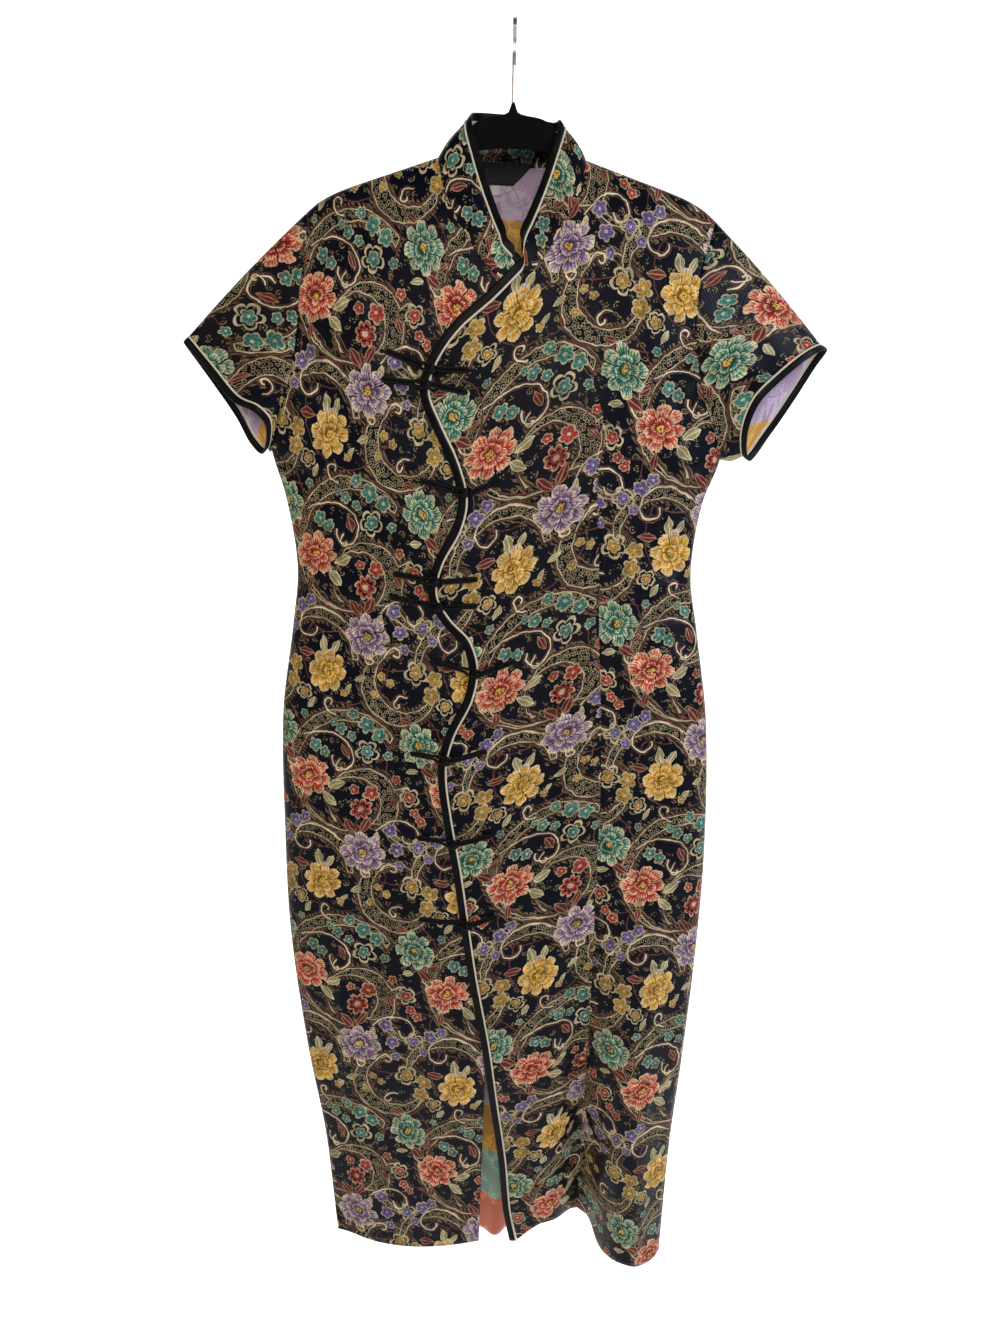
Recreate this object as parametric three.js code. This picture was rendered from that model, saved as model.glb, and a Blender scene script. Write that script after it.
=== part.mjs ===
// A long cheongsam dress of brocade, hung on a velvet hanger.
// Millimetres, +Z up, the front facing -Y. The origin is where the hook's inside rests on a rod.
// The dress is a set of thin walls: two fronts, a back, two sleeves and a stand collar, with satin
// binding and cream piping along the edges and corded frogs across the overlap.
import * as THREE from 'three';

// ---- cloth ----
const WALL = 1.2;            // brocade, one layer with its turnings
const SEAM = 0.3;            // gap between two pieces that are sewn together
const LAP = 2.0;             // how far the overlap lies in front of the underlap
const PIPING = 1.6;          // cream piping, across
const BINDING = 7.5;         // satin binding, across
const BINDING_WALL = 2.2;    // binding folded over the edge

// ---- levels ----
const SHOULDER_Z = -114;     // neck end of the shoulder seam
const UNDERARM_Z = -383;
const KNEE_Z = -830;         // the overlap's S is above this level
const HEM_Z = -1351;
const NECK_HALF = 68;        // half the neck's width at the shoulder seams
const NECK_SHIFT = 2;        // the front of the neck hangs a little to one side
const SHOULDER_HALF = 191;   // middle to the top of the armhole
const FOLD_R = 5;            // the cloth's turn over the hanger's arm
const SPREAD = 60;           // how fast the cloth falls away below the shoulder

// ---- the body's sections: half width, shift of the middle, depth of the front and the back ----
const SECTIONS = [
  { z: -60, half: 248, shift: 0, front: 44, back: 24, sharp: 4 },
  { z: -165, half: 246, shift: 0, front: 44, back: 24, sharp: 4 },
  { z: -238, half: 240, shift: -10, front: 44, back: 24, sharp: 3.6 },
  { z: -320, half: 232, shift: -12, front: 43, back: 24, sharp: 2.8 },
  { z: -383, half: 224, shift: -10, front: 41, back: 23, sharp: 2.4 },
  { z: -430, half: 210, shift: -11, front: 38, back: 20, sharp: 2.4 },
  { z: -500, half: 202.5, shift: -9.5, front: 34, back: 18, sharp: 2.4 },
  { z: -560, half: 211, shift: -7.5, front: 34, back: 20, sharp: 2.4 },
  { z: -660, half: 227, shift: -6, front: 36, back: 26, sharp: 2.4 },
  { z: -800, half: 233, shift: -3, front: 37, back: 30, sharp: 2.4 },
  { z: -925, half: 232, shift: -2, front: 33, back: 30, sharp: 2.4 },
  { z: -1077, half: 221.5, shift: 2.5, front: 25, back: 29, sharp: 2.4 },
  { z: -1200, half: 209, shift: 8, front: 15, back: 29, sharp: 2.4 },
  { z: HEM_Z, half: 202, shift: 12, front: 8, back: 29, sharp: 2.4 },
];

// ---- the largest folds: where each is at the hem, its height there, its width and where it starts ----
const FRONT_FOLDS = [
  { x: 112, depth: 34, width: 24, from: -850 },
  { x: 170, depth: -30, width: 26, from: -800 },
  { x: 18, depth: 9, width: 34, from: -1040 },
  { x: -188, depth: 12, width: 26, from: -1150 },
];
const BACK_FOLDS = [
  { x: 114, depth: 24, width: 38, from: -850 },
  { x: 8, depth: -15, width: 13, from: -1060 },
  { x: -110, depth: 8, width: 45, from: -800 },
];

// ---- the armhole: half distance from the shifted middle ----
const ARMHOLE = [
  { z: -163, half: 191 },
  { z: -200, half: 187 },
  { z: -238, half: 186 },
  { z: -280, half: 189 },
  { z: -320, half: 199 },
  { z: -350, half: 212 },
  { z: -383, half: 224 },
];

// ---- the shoulder seam, from the neck out to the armhole ----
const SHOULDER = [
  { x: 68, z: -114 },
  { x: 114, z: -129 },
  { x: 160, z: -144.5 },
  { x: 180, z: -154.5 },
  { x: 191, z: -163 },
];

// ---- the neckline, by half width, from the shoulder seam down to the front ----
const NECKLINE = [
  { z: -114, half: 68 },
  { z: -141, half: 62.5 },
  { z: -165, half: 52 },
  { z: -190, half: 37.5 },
  { z: -206, half: 27 },
  { z: -218, half: 14 },
  { z: -228, half: 4 },
];

// ---- the overlap's edge, an S down the front: the cream piping runs along it ----
const OVERLAP = [
  { z: -216, x: 11 },
  { z: -240, x: -13 },
  { z: -268, x: -45 },
  { z: -298, x: -66 },
  { z: -323, x: -73 },
  { z: -352, x: -62 },
  { z: -388, x: -45 },
  { z: -424, x: -36 },
  { z: -455, x: -42 },
  { z: -490, x: -60 },
  { z: -520, x: -65.5 },
  { z: -545, x: -52 },
  { z: -565, x: -33 },
  { z: -595, x: -23.5 },
  { z: -630, x: -28.5 },
  { z: -670, x: -47 },
  { z: -707, x: -55 },
  { z: -760, x: -49.5 },
  { z: -827, x: -38 },
  { z: -950, x: -21 },
  { z: -1050, x: -4 },
  { z: -1135, x: 7 },
  { z: -1222, x: 18.5 },
  { z: -1303, x: 26 },
  { z: HEM_Z, x: 35 },
];
const UNDERLAP = { top: { x: 4, z: -228 }, hem: { x: -13, z: HEM_Z } };

// ---- the stand collar, from the front end (0) to the middle of the back (1) ----
const COLLAR_SIDE = 0.75;    // where the collar crosses the shoulder seam
const COLLAR = [
  { at: 0, baseZ: -225, topX: 8, topY: -41, topZ: -207 },
  { at: 0.15, baseZ: -209, topX: 12, topY: -38, topZ: -190 },
  { at: 0.3, baseZ: -188, topX: 20, topY: -30, topZ: -170 },
  { at: 0.45, baseZ: -165, topX: 30, topY: -22, topZ: -145 },
  { at: 0.6, baseZ: -141, topX: 39, topY: -13, topZ: -118 },
  { at: 0.75, baseZ: -114, topX: 46.5, topY: -1, topZ: -88 },
  { at: 0.88, baseZ: -114, topX: 37, topY: 22, topZ: -83 },
  { at: 1, baseZ: -114, topX: 0, topY: 33, topZ: -79 },
];
const COLLAR_WALL = 1.6;
const COLLAR_START = 1.8;    // the collar's base stands this far up from the neckline
const COLLAR_BELLY = 2.5;    // its height is a little rounded
const COLLAR_LEAN = -0.1;    // the back of the collar stands higher on the wearer's right

// ---- the cuffs: the edge of the brocade, from the top round the front and up the back ----
const CUFF = [
  { x: 303, y: 1, z: -272 },
  { x: 284, y: -16, z: -278 },
  { x: 256, y: -24, z: -300 },
  { x: 236, y: -22, z: -323 },
  { x: 229, y: -14, z: -352 },
  { x: 237, y: 1, z: -379 },
  { x: 258, y: 13, z: -354 },
  { x: 279, y: 16, z: -321 },
  { x: 296, y: 11, z: -288 },
];
const SLEEVE_FULLNESS = 5;
const CUFF_SEAM = 0.45;      // ahead of the cuff's piping, and of its binding
const CUFF_UNIT = 1000;      // millimetres past the cuff for each 1 past the sleeve's own length
const SLEEVE_START = 0.7;    // the sleeve starts this far out from the armhole

// ---- frogs: where each crosses the overlap's edge, and the ends of its two tails ----
const FROGS = [
  { z: -303, loopX: -112, loopZ: -288, knotX: -38, knotZ: -303 },
  { z: -317, loopX: -116, loopZ: -313, knotX: -40, knotZ: -323 },
  { z: -417, loopX: -80, loopZ: -407, knotX: -8, knotZ: -406 },
  { z: -506, loopX: -107, loopZ: -500, knotX: -28, knotZ: -503 },
  { z: -532, loopX: -111, loopZ: -524, knotX: -28, knotZ: -530 },
  { z: -600, loopX: -70, loopZ: -590, knotX: 12, knotZ: -587 },
  { z: -695, loopX: -91, loopZ: -690, knotX: -16, knotZ: -684 },
  { z: -790, loopX: -84, loopZ: -786, knotX: -10, knotZ: -780 },
  { z: -888, loopX: -82, loopZ: -884, knotX: -2, knotZ: -878 },
];
const FROG_WIDTH = 5;
const FROG_HEIGHT = 2.4;
const FROG_GAP = 0.5;        // between a loop, its knot and the knot's tail
const FROG_STEP = 7;         // over which a loop rises on to the binding
const FROG_REACH = 2.5;      // how far it then lies on the binding
const KNOT_R = 4.2;

// ---- labels at the back of the neck ----
const LABEL = { left: -30, right: 24, top: -117, height: 20, wall: 0.8 };
const LABEL_GAP = 1.1;       // between the label and the back
const SIZE_TAG = { left: -19, right: -7, top: -138.5, height: 9, wall: 0.6 };

// ---- hanger ----
const HANGER_THICK = 6;
const HANGER_BEVEL = 1.5;
const HANGER_DROP = 1.4;     // below the middle of the cloth that rests on it
const TIP_DROP = 1.4;        // and this much more at the armhole
const PEG_TOP = -67;
// Half its outline, from the peg over the yoke, round the arm's tip and back along the underside.
const YOKE = [
  { x: 1.4, z: PEG_TOP },
  { x: 3, z: -72 },
  { x: 4.2, z: -79 },
  { x: 12, z: -84 },
  { x: 24, z: -92 },
  { x: 36, z: -101 },
  { x: 50, z: -111 },
  { x: 62, z: -118 },
];
const ARM_X = [78, 96, 114, 137, 160, 180, 190];
const ARM_UNDER = [
  { x: 198, z: -174 },
  { x: 203, z: -181 },
  { x: 205, z: -189 },
  { x: 203, z: -197 },
  { x: 196, z: -199 },
  { x: 184, z: -188 },
  { x: 160, z: -170 },
  { x: 114, z: -152 },
  { x: 72, z: -136 },
  { x: 36, z: -109 },
  { x: 14, z: -105 },
];
const WIRE_R = 1.7;
const HOOK_R = 19;           // middle of the wire

const BROCADE = { color: 0x1a1a26, roughness: 0.55, metalness: 0 };
const SATIN = { color: 0x0b0b0c, roughness: 0.4, metalness: 0 };
const CREAM = { color: 0xe6dcc2, roughness: 0.5, metalness: 0 };
const LABEL_CLOTH = { color: 0x101216, roughness: 0.7, metalness: 0 };
const TAG_CLOTH = { color: 0xf0efec, roughness: 0.7, metalness: 0 };
const VELVET = { color: 0x070707, roughness: 0.95, metalness: 0 };
const STEEL = { color: 0xd8d8d6, roughness: 0.25, metalness: 1 };

// ---------------------------------------------------------------- curves and tables

/** A smooth curve through one column of a table, read at any value of another column. */
function column(table, by, key) {
  const rows = [...table].sort((a, b) => a[by] - b[by]);
  const slope = rows.map((row, i) => {
    const before = rows[Math.max(0, i - 1)];
    const after = rows[Math.min(rows.length - 1, i + 1)];
    return (after[key] - before[key]) / (after[by] - before[by]);
  });
  return (value) => {
    const v = THREE.MathUtils.clamp(value, rows[0][by], rows[rows.length - 1][by]);
    let i = 0;
    while (i < rows.length - 2 && v > rows[i + 1][by]) i += 1;
    const width = rows[i + 1][by] - rows[i][by];
    const t = (v - rows[i][by]) / width;
    const t2 = t * t;
    const t3 = t2 * t;
    return (2 * t3 - 3 * t2 + 1) * rows[i][key] + (t3 - 2 * t2 + t) * width * slope[i]
      + (3 * t2 - 2 * t3) * rows[i + 1][key] + (t3 - t2) * width * slope[i + 1];
  };
}

const halfAt = column(SECTIONS, 'z', 'half');
const shiftAt = column(SECTIONS, 'z', 'shift');
const frontAt = column(SECTIONS, 'z', 'front');
const backAt = column(SECTIONS, 'z', 'back');
const sharpAt = column(SECTIONS, 'z', 'sharp');
const armholeAt = column(ARMHOLE, 'z', 'half');
const shoulderAt = column(SHOULDER, 'x', 'z');
const necklineAt = column(NECKLINE, 'z', 'half');
const overlapAt = column(OVERLAP, 'z', 'x');

const { lerp, clamp, smoothstep } = THREE.MathUtils;

/** The neckline's x at a height, on the wearer's left (+1) or right (-1). */
function neckX(side, z) {
  const half = necklineAt(z);
  return side * half + NECK_SHIFT * (1 - half / NECK_HALF);
}

/** The top line of the dress at x: flat across the neck, then down the shoulder. */
function topLine(x) {
  return shoulderAt(clamp(Math.abs(x), NECK_HALF, SHOULDER_HALF));
}

/** The ridge that the cloth falls away from: the shoulder seam, carried on up across the neck. */
function ridgeLine(x) {
  const inside = Math.max(0, NECK_HALF - Math.abs(x));
  const outside = Math.max(0, Math.abs(x) - SHOULDER_HALF);
  return topLine(x) + inside * 0.27 - outside * 0.85;
}

/** 1 in the middle of the body and 0 at the side seam, where the cloth turns round. */
function roundness(x, z) {
  const across = Math.min(1, Math.abs(x - shiftAt(z)) / halfAt(z));
  return Math.sqrt(Math.max(0, 1 - across ** sharpAt(z)));
}

/** The sum of the large folds at a place: positive is towards the back. */
function folds(table, x, z) {
  let sum = 0;
  for (const fold of table) {
    const grown = smoothstep(fold.from - z, 0, fold.from - HEM_Z);
    const middle = fold.x + shiftAt(z) - shiftAt(HEM_Z);
    sum += fold.depth * grown ** 1.3 * Math.exp(-(((x - middle) / fold.width) ** 2));
  }
  return sum;
}

/** How far the cloth stands from the middle plane under the ridge, before folds. */
function fall(x, z, depth) {
  const below = Math.max(0, ridgeLine(x) - z);
  const turn = Math.sqrt(Math.max(0, FOLD_R ** 2 - Math.max(0, FOLD_R - below) ** 2));
  const overHanger = smoothstep(z, UNDERARM_Z, UNDERARM_Z + 130);
  return turn * overHanger + depth * roundness(x, z) * (1 - Math.exp(-below / SPREAD));
}

/** The middle of the front cloth. */
function frontY(x, z) {
  return -fall(x, z, frontAt(z)) + folds(FRONT_FOLDS, x, z) * roundness(x, z) - SEAM / 2;
}

/** The middle of the back cloth, which the collar's ring holds out behind the neck. */
function backY(x, z) {
  const ring = Math.sqrt(Math.max(0, 1 - (x / NECK_HALF) ** 2));
  const heldOut = 25 * ring * Math.exp(-(((z - SHOULDER_Z) / 45) ** 2));
  return fall(x, z, backAt(z)) + heldOut + folds(BACK_FOLDS, x, z) * roundness(x, z) + SEAM / 2;
}

/** The overlap lies in front of the underlap, and comes back to it at the side and the shoulder. */
function overlapY(x, z) {
  const fromSide = smoothstep(shiftAt(z) + armOrSide(z) - x, 0, 90);
  const fromShoulder = smoothstep(ridgeLine(x) - z, 4, 50);
  return frontY(x, z) - LAP * fromSide * fromShoulder;
}

/** Half the width of a body panel at a height: the armhole above the underarm, the side below. */
function armOrSide(z) {
  return z > UNDERARM_Z ? armholeAt(z) : halfAt(z);
}

/** The outward normal of a cloth surface y(x, z): facing -Y on the front, +Y on the back. */
function clothNormal(surface, facing, x, z) {
  const e = 0.4;
  const dx = (surface(x + e, z) - surface(x - e, z)) / (2 * e);
  const dz = (surface(x, z + e) - surface(x, z - e)) / (2 * e);
  return new THREE.Vector3(-dx * facing, facing, -dz * facing).normalize();
}

// ---------------------------------------------------------------- solids

/** Turns a solid's faces outwards if its volume comes out negative. */
function closedGeometry(positions, indices) {
  let volume = 0;
  const a = new THREE.Vector3();
  const b = new THREE.Vector3();
  const c = new THREE.Vector3();
  for (let i = 0; i < indices.length; i += 3) {
    a.fromArray(positions, indices[i] * 3);
    b.fromArray(positions, indices[i + 1] * 3);
    c.fromArray(positions, indices[i + 2] * 3);
    volume += a.dot(b.cross(c));
  }
  if (volume < 0) indices.reverse();
  const geometry = new THREE.BufferGeometry();
  geometry.setAttribute('position', new THREE.Float32BufferAttribute(positions, 3));
  geometry.setIndex(indices);
  geometry.computeVertexNormals();
  return geometry;
}

/**
 * A closed wall on a grid of cells { p, n }: a point in the middle of the cloth and its normal.
 * With ring, each row closes on itself.
 */
function wall(grid, thickness, ring = false) {
  const rows = grid.length;
  const cols = grid[0].length;
  const positions = [];
  for (const side of [0.5, -0.5]) {
    for (const row of grid) {
      for (const cell of row) {
        positions.push(...cell.p.clone().addScaledVector(cell.n, side * thickness).toArray());
      }
    }
  }
  const at = (side, i, j) => side * rows * cols + i * cols + (j % cols);
  const indices = [];
  const quad = (a, b, c, d) => indices.push(a, b, c, a, c, d);
  const lastCol = ring ? cols : cols - 1;
  for (let i = 0; i < rows - 1; i += 1) {
    for (let j = 0; j < lastCol; j += 1) {
      quad(at(0, i, j), at(0, i, j + 1), at(0, i + 1, j + 1), at(0, i + 1, j));
      quad(at(1, i, j), at(1, i + 1, j), at(1, i + 1, j + 1), at(1, i, j + 1));
    }
  }
  for (let j = 0; j < lastCol; j += 1) {
    quad(at(0, 0, j), at(1, 0, j), at(1, 0, j + 1), at(0, 0, j + 1));
    quad(at(0, rows - 1, j), at(0, rows - 1, j + 1), at(1, rows - 1, j + 1), at(1, rows - 1, j));
  }
  if (!ring) {
    for (let i = 0; i < rows - 1; i += 1) {
      quad(at(0, i, 0), at(0, i + 1, 0), at(1, i + 1, 0), at(1, i, 0));
      quad(at(0, i, cols - 1), at(1, i, cols - 1), at(1, i + 1, cols - 1), at(0, i + 1, cols - 1));
    }
  }
  return closedGeometry(positions, indices);
}

/** A named mesh with a plain finish. */
function piece(name, geometry, finish) {
  const mesh = new THREE.Mesh(geometry, new THREE.MeshStandardMaterial(finish));
  mesh.name = name;
  return mesh;
}

/** Evenly spaced steps from 0 to 1. */
function steps(count) {
  return Array.from({ length: count + 1 }, (_, i) => i / count);
}

// ---------------------------------------------------------------- body panels

// Fractions from the underarm's level up to the shoulder seam, close together where the cloth turns.
const UPPER = [
  0, 0.09, 0.18, 0.27, 0.36, 0.45, 0.52, 0.57, 0.605, 0.635, 0.67, 0.72, 0.79, 0.87, 0.935,
  0.977, 0.989, 0.997, 1,
];

// The sleeves need fewer of these rows.
const SLEEVE_SKIPS = [0.52, 0.605, 0.635, 0.72, 0.989, 0.997];

/** The height of an upper row at x, so that the top row lies on the shoulder seam. */
function upperZ(fraction, x) {
  return topLine(x) - (1 - fraction) * (topLine(x) - UNDERARM_Z);
}

/** Rows below the underarm, from the hem up, with their own spacing above the knee's level. */
function lowerRows(below, above) {
  const skirt = steps(below).slice(0, -1).map((t) => lerp(HEM_Z, KNEE_Z, t));
  const waist = steps(above).slice(0, -1).map((t) => lerp(KNEE_Z, UNDERARM_Z, t));
  return [...skirt, ...waist];
}

/** x across a row from a to b, closer together where the cloth turns at the side. */
function acrossRow(a, b, t, z) {
  const half = halfAt(z);
  const middle = shiftAt(z);
  const from = Math.asin(clamp((a - middle) / half, -1, 1));
  const to = Math.asin(clamp((b - middle) / half, -1, 1));
  return middle + half * Math.sin(lerp(from, to, t));
}

/** The normal at the sides and the shoulder seam lies in the seam's own plane. */
function flattenAtSeam(normal, atSeam) {
  if (atSeam) normal.setY(0).normalize();
  return normal;
}

/**
 * The grid of a front. inner(z) is the edge at the middle, side is +1 for the wearer's left
 * and -1 for the right, and surface is the cloth's y.
 */
function frontGrid(side, surface, inner, innerTopZ, lower, columns) {
  const outer = (z) => shiftAt(z) + side * armOrSide(z);
  const cell = (x, z, atSeam) => ({
    p: new THREE.Vector3(x, surface(x, z), z),
    n: flattenAtSeam(clothNormal(surface, -1, x, z), atSeam),
  });
  const grid = [];
  for (const z of lower) {
    grid.push(steps(columns).map((t) => cell(acrossRow(inner(z), outer(z), t, z), z, t === 1)));
  }
  for (const fraction of UPPER) {
    const innerZ = upperZ(fraction, 0);
    const from = innerZ > innerTopZ ? neckX(side, innerZ) : inner(innerZ);
    const outerZ = upperZ(fraction, SHOULDER_HALF);
    const to = fraction === 0 ? outer(UNDERARM_Z) : shiftAt(outerZ) + side * armholeAt(outerZ);
    grid.push(steps(columns).map((t) => {
      const x = acrossRow(from, to, t, lerp(innerZ, outerZ, t));
      const seam = fraction === 1 || (fraction === 0 && t === 1);
      return cell(x, upperZ(fraction, x), seam);
    }));
  }
  return grid;
}

/** The grid of the back, one panel from side to side and straight across the neck. */
function backGrid(lower, columns) {
  const cell = (x, z, atSeam) => ({
    p: new THREE.Vector3(x, backY(x, z), z),
    n: flattenAtSeam(clothNormal(backY, 1, x, z), atSeam),
  });
  const grid = [];
  for (const z of lower) {
    const middle = shiftAt(z);
    grid.push(steps(columns).map((t) => {
      const x = middle + halfAt(z) * Math.sin((t - 0.5) * Math.PI);
      return cell(x, z, t === 0 || t === 1);
    }));
  }
  for (const fraction of UPPER) {
    const outerZ = upperZ(fraction, SHOULDER_HALF);
    const middle = shiftAt(outerZ);
    const half = armholeAt(outerZ);
    const turn = Math.asin(Math.min(1, half / halfAt(outerZ)));
    grid.push(steps(columns).map((t) => {
      const spread = Math.sin((2 * t - 1) * turn) / Math.sin(turn);
      const neckFirst = neckColumns(2 * t - 1);
      const x = middle + half * lerp(spread, neckFirst, fraction ** 4);
      const seam = fraction === 1 && Math.abs(x) >= NECK_HALF - 0.01;
      const corner = fraction === 0 && (t === 0 || t === 1);
      return cell(x, upperZ(fraction, x), seam || corner);
    }));
  }
  return grid;
}

/** Columns at the top of the back, with one at each end of the neck. */
function neckColumns(t) {
  const share = 0.4;
  const neck = NECK_HALF / SHOULDER_HALF;
  const size = Math.abs(t);
  const out = size < share ? (size / share) * neck : lerp(neck, 1, (size - share) / (1 - share));
  return Math.sign(t) * out;
}

const underlapX = (z) => THREE.MathUtils.mapLinear(
  z, UNDERLAP.top.z, UNDERLAP.hem.z, UNDERLAP.top.x, UNDERLAP.hem.x);

const leftGrid = frontGrid(1, overlapY, overlapAt, OVERLAP[0].z, lowerRows(11, 22), 8);
const rightGrid = frontGrid(-1, frontY, underlapX, UNDERLAP.top.z, lowerRows(7, 11), 7);
const backPanel = backGrid(lowerRows(8, 5), 16);

// ---------------------------------------------------------------- edges of the overlap

/** Points beyond the overlap's edge, on the same surface. */
function beyondOverlap(distance, z) {
  const e = 1;
  const tangent = new THREE.Vector2(overlapAt(z + e) - overlapAt(z - e), 2 * e).normalize();
  const x = overlapAt(z) - tangent.y * distance;
  const height = z + tangent.x * distance;
  return {
    p: new THREE.Vector3(x, overlapY(x, height), height),
    n: clothNormal(overlapY, -1, x, height),
  };
}

/** A strip along the overlap's edge, between two distances from the brocade. */
function overlapStrip(from, to, thickness) {
  const levels = leftGrid.filter((row) => row[0].p.z <= OVERLAP[0].z).map((row) => row[0].p.z);
  return wall(levels.map((z) => [beyondOverlap(from, z), beyondOverlap(to, z)]), thickness);
}

// ---------------------------------------------------------------- collar

const COLLAR_COLUMNS = ['baseZ', 'topX', 'topY', 'topZ'];
const collarAt = Object.fromEntries(COLLAR_COLUMNS.map((key) => [key, column(COLLAR, 'at', key)]));

/** The base and the top of the collar at u: -1 is the overlap's end, 0 the back, 1 the underlap's. */
function collarLine(u) {
  const at = 1 - Math.abs(u);
  const onOverlap = u < 0;
  const side = onOverlap ? 1 : -1;
  const lowest = onOverlap ? OVERLAP[0].z : UNDERLAP.top.z;
  const baseZ = Math.max(lowest, collarAt.baseZ(at));
  const round = ((at - COLLAR_SIDE) / (1 - COLLAR_SIDE)) * (Math.PI / 2);
  const baseX = at < COLLAR_SIDE ? neckX(side, baseZ) : side * NECK_HALF * Math.cos(round);
  const panelY = onOverlap ? overlapY : frontY;
  const baseY = at < COLLAR_SIDE ? panelY(baseX, baseZ) : backY(baseX, baseZ);
  const lap = onOverlap ? LAP * smoothstep(-u, 0.4, 0.9) : 0;
  const topX = side * collarAt.topX(at) + NECK_SHIFT;
  const lean = COLLAR_LEAN * topX * smoothstep(at, 0.7, 0.9);
  const top = new THREE.Vector3(topX, collarAt.topY(at) - lap, collarAt.topZ(at) + lean);
  return { base: new THREE.Vector3(baseX, baseY, baseZ), top };
}

/** A place on the collar: v is 0 at the base and 1 at the top, and beyond is millimetres past it. */
function collarCell(u, v, beyond = 0) {
  const place = (w) => {
    const line = collarLine(clamp(w, -1, 1));
    const rise = line.top.clone().sub(line.base).normalize();
    const belly = new THREE.Vector3(line.base.x, line.base.y, 0).normalize();
    const start = line.base.clone().addScaledVector(rise, COLLAR_START);
    const bulge = COLLAR_BELLY * smoothstep(1 - Math.abs(w), 0.05, 0.35);
    return start.lerp(line.top, v).addScaledVector(rise, beyond)
      .addScaledVector(belly, bulge * Math.sin(Math.PI * Math.min(1, v)));
  };
  const line = collarLine(u);
  const rise = line.top.clone().sub(line.base).normalize();
  const along = place(u + 0.01).sub(place(u - 0.01));
  const n = along.cross(rise).normalize();
  if (n.dot(new THREE.Vector3(line.base.x, line.base.y, 0)) < 0) n.negate();
  return { p: place(u), n };
}
const COLLAR_STEPS = steps(26).map((t) => 2 * t - 1);

/** A strip past the collar's top edge. */
function collarStrip(from, to, thickness) {
  return wall([from, to].map((d) => COLLAR_STEPS.map((u) => collarCell(u, 1, d))), thickness);
}

// ---------------------------------------------------------------- sleeves

/** Points of a body panel's armhole edge, from the shoulder down to the underarm. */
function armholeEdge(grid, columnIndex) {
  const upper = grid.slice(grid.length - UPPER.length).filter((_, i) => !SLEEVE_SKIPS.includes(UPPER[i]));
  return upper.map((row) => row.at(columnIndex).p.clone()).reverse();
}

/** A point on the cuff's edge: t runs from the top round the front, under and up the back. */
function cuffPoint(side, t) {
  const points = CUFF.map((c) => {
    const out = side > 0 ? 0 : 4 + 8 * smoothstep(-c.z, 300, 380);
    const drop = side > 0 ? 0 : 5;
    return new THREE.Vector3(side * (c.x + out), c.y, c.z - drop);
  });
  return new THREE.CatmullRomCurve3(points, true).getPoint(t);
}

/** The grid of a sleeve: rows run from the armhole to the cuff, and each closes on itself. */
function sleeveGrid(side, frontEdge, backEdge) {
  const armhole = [...frontEdge, ...backEdge.slice(1, -1).reverse()];
  const lengths = [0];
  armhole.forEach((p, i) => lengths.push(lengths[i] + p.distanceTo(armhole[(i + 1) % armhole.length])));
  const total = lengths[armhole.length];
  const underarm = lengths[frontEdge.length - 1] / total;
  const bottom = 5 / CUFF.length;
  const cuff = armhole.map((_, i) => {
    const t = lengths[i] / total;
    const even = t < underarm ? (t / underarm) * bottom : lerp(bottom, 1, (t - underarm) / (1 - underarm));
    return cuffPoint(side, even);
  });
  const middle = armhole.reduce((sum, p) => sum.add(p), new THREE.Vector3()).divideScalar(armhole.length);
  const cuffMiddle = cuff.reduce((sum, p) => sum.add(p), new THREE.Vector3()).divideScalar(cuff.length);
  const sleeveRun = cuffMiddle.clone().sub(middle).normalize();
  const place = (i, v) => {
    const index = (i + armhole.length) % armhole.length;
    const from = armhole[index];
    const to = cuff[index];
    const run = to.clone().sub(from).normalize();
    const start = SLEEVE_START + SEAM * 2 * smoothstep(-from.z, 300, -UNDERARM_Z);
    const p = from.clone().addScaledVector(run, start).lerp(to, v);
    const out = p.clone().sub(middle.clone().lerp(cuffMiddle, v)).setX(0).normalize();
    return p.addScaledVector(out, SLEEVE_FULLNESS * Math.sin(Math.PI * Math.min(1, v)) * 0.6)
      .addScaledVector(sleeveRun, Math.max(0, v - 1) * CUFF_UNIT);
  };
  const cell = (i, v) => {
    const along = place(i + 1, Math.min(v, 1)).sub(place(i - 1, Math.min(v, 1)));
    const run = place(i, Math.min(v, 1)).sub(place(i, Math.min(v, 1) - 0.05));
    const n = along.cross(run).normalize();
    const outward = place(i, Math.min(v, 1)).sub(middle.clone().lerp(cuffMiddle, Math.min(v, 1)));
    if (n.dot(outward) < 0) n.negate();
    if (v >= 1) n.projectOnPlane(sleeveRun).normalize();
    return { p: place(i, v), n };
  };
  return (v) => armhole.map((_, i) => cell(i, v));
}

/** A ring past the cuff's edge, from one distance to another in millimetres. */
function cuffRing(sleeve, from, to, thickness) {
  return wall([from + CUFF_SEAM, to].map((d) => sleeve(1 + d / CUFF_UNIT)), thickness, true);
}

const SLEEVES = [
  { side: 1, name: 'left', rows: sleeveGrid(1, armholeEdge(leftGrid, -1), armholeEdge(backPanel, -1)) },
  { side: -1, name: 'right', rows: sleeveGrid(-1, armholeEdge(rightGrid, -1), armholeEdge(backPanel, 0)) },
];

// ---------------------------------------------------------------- frogs

/** A flat cord laid on the front: each stop is x, z and how far it stands off the underlap. */
function cordStrip(stops) {
  const path = stops.map((s) => new THREE.Vector3(s.x, frontY(s.x, s.z) - s.lift, s.z));
  const grid = path.map((p, i) => {
    const before = path[Math.max(0, i - 1)];
    const after = path[Math.min(path.length - 1, i + 1)];
    const n = clothNormal(frontY, -1, p.x, p.z);
    const across = after.clone().sub(before).cross(n).normalize();
    const up = across.clone().cross(after.clone().sub(before)).normalize();
    if (up.dot(n) < 0) up.negate();
    return [-0.5, 0.5].map((s) => ({ p: p.clone().addScaledVector(across, s * FROG_WIDTH), n: up }));
  });
  return wall(grid, FROG_HEIGHT);
}

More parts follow.
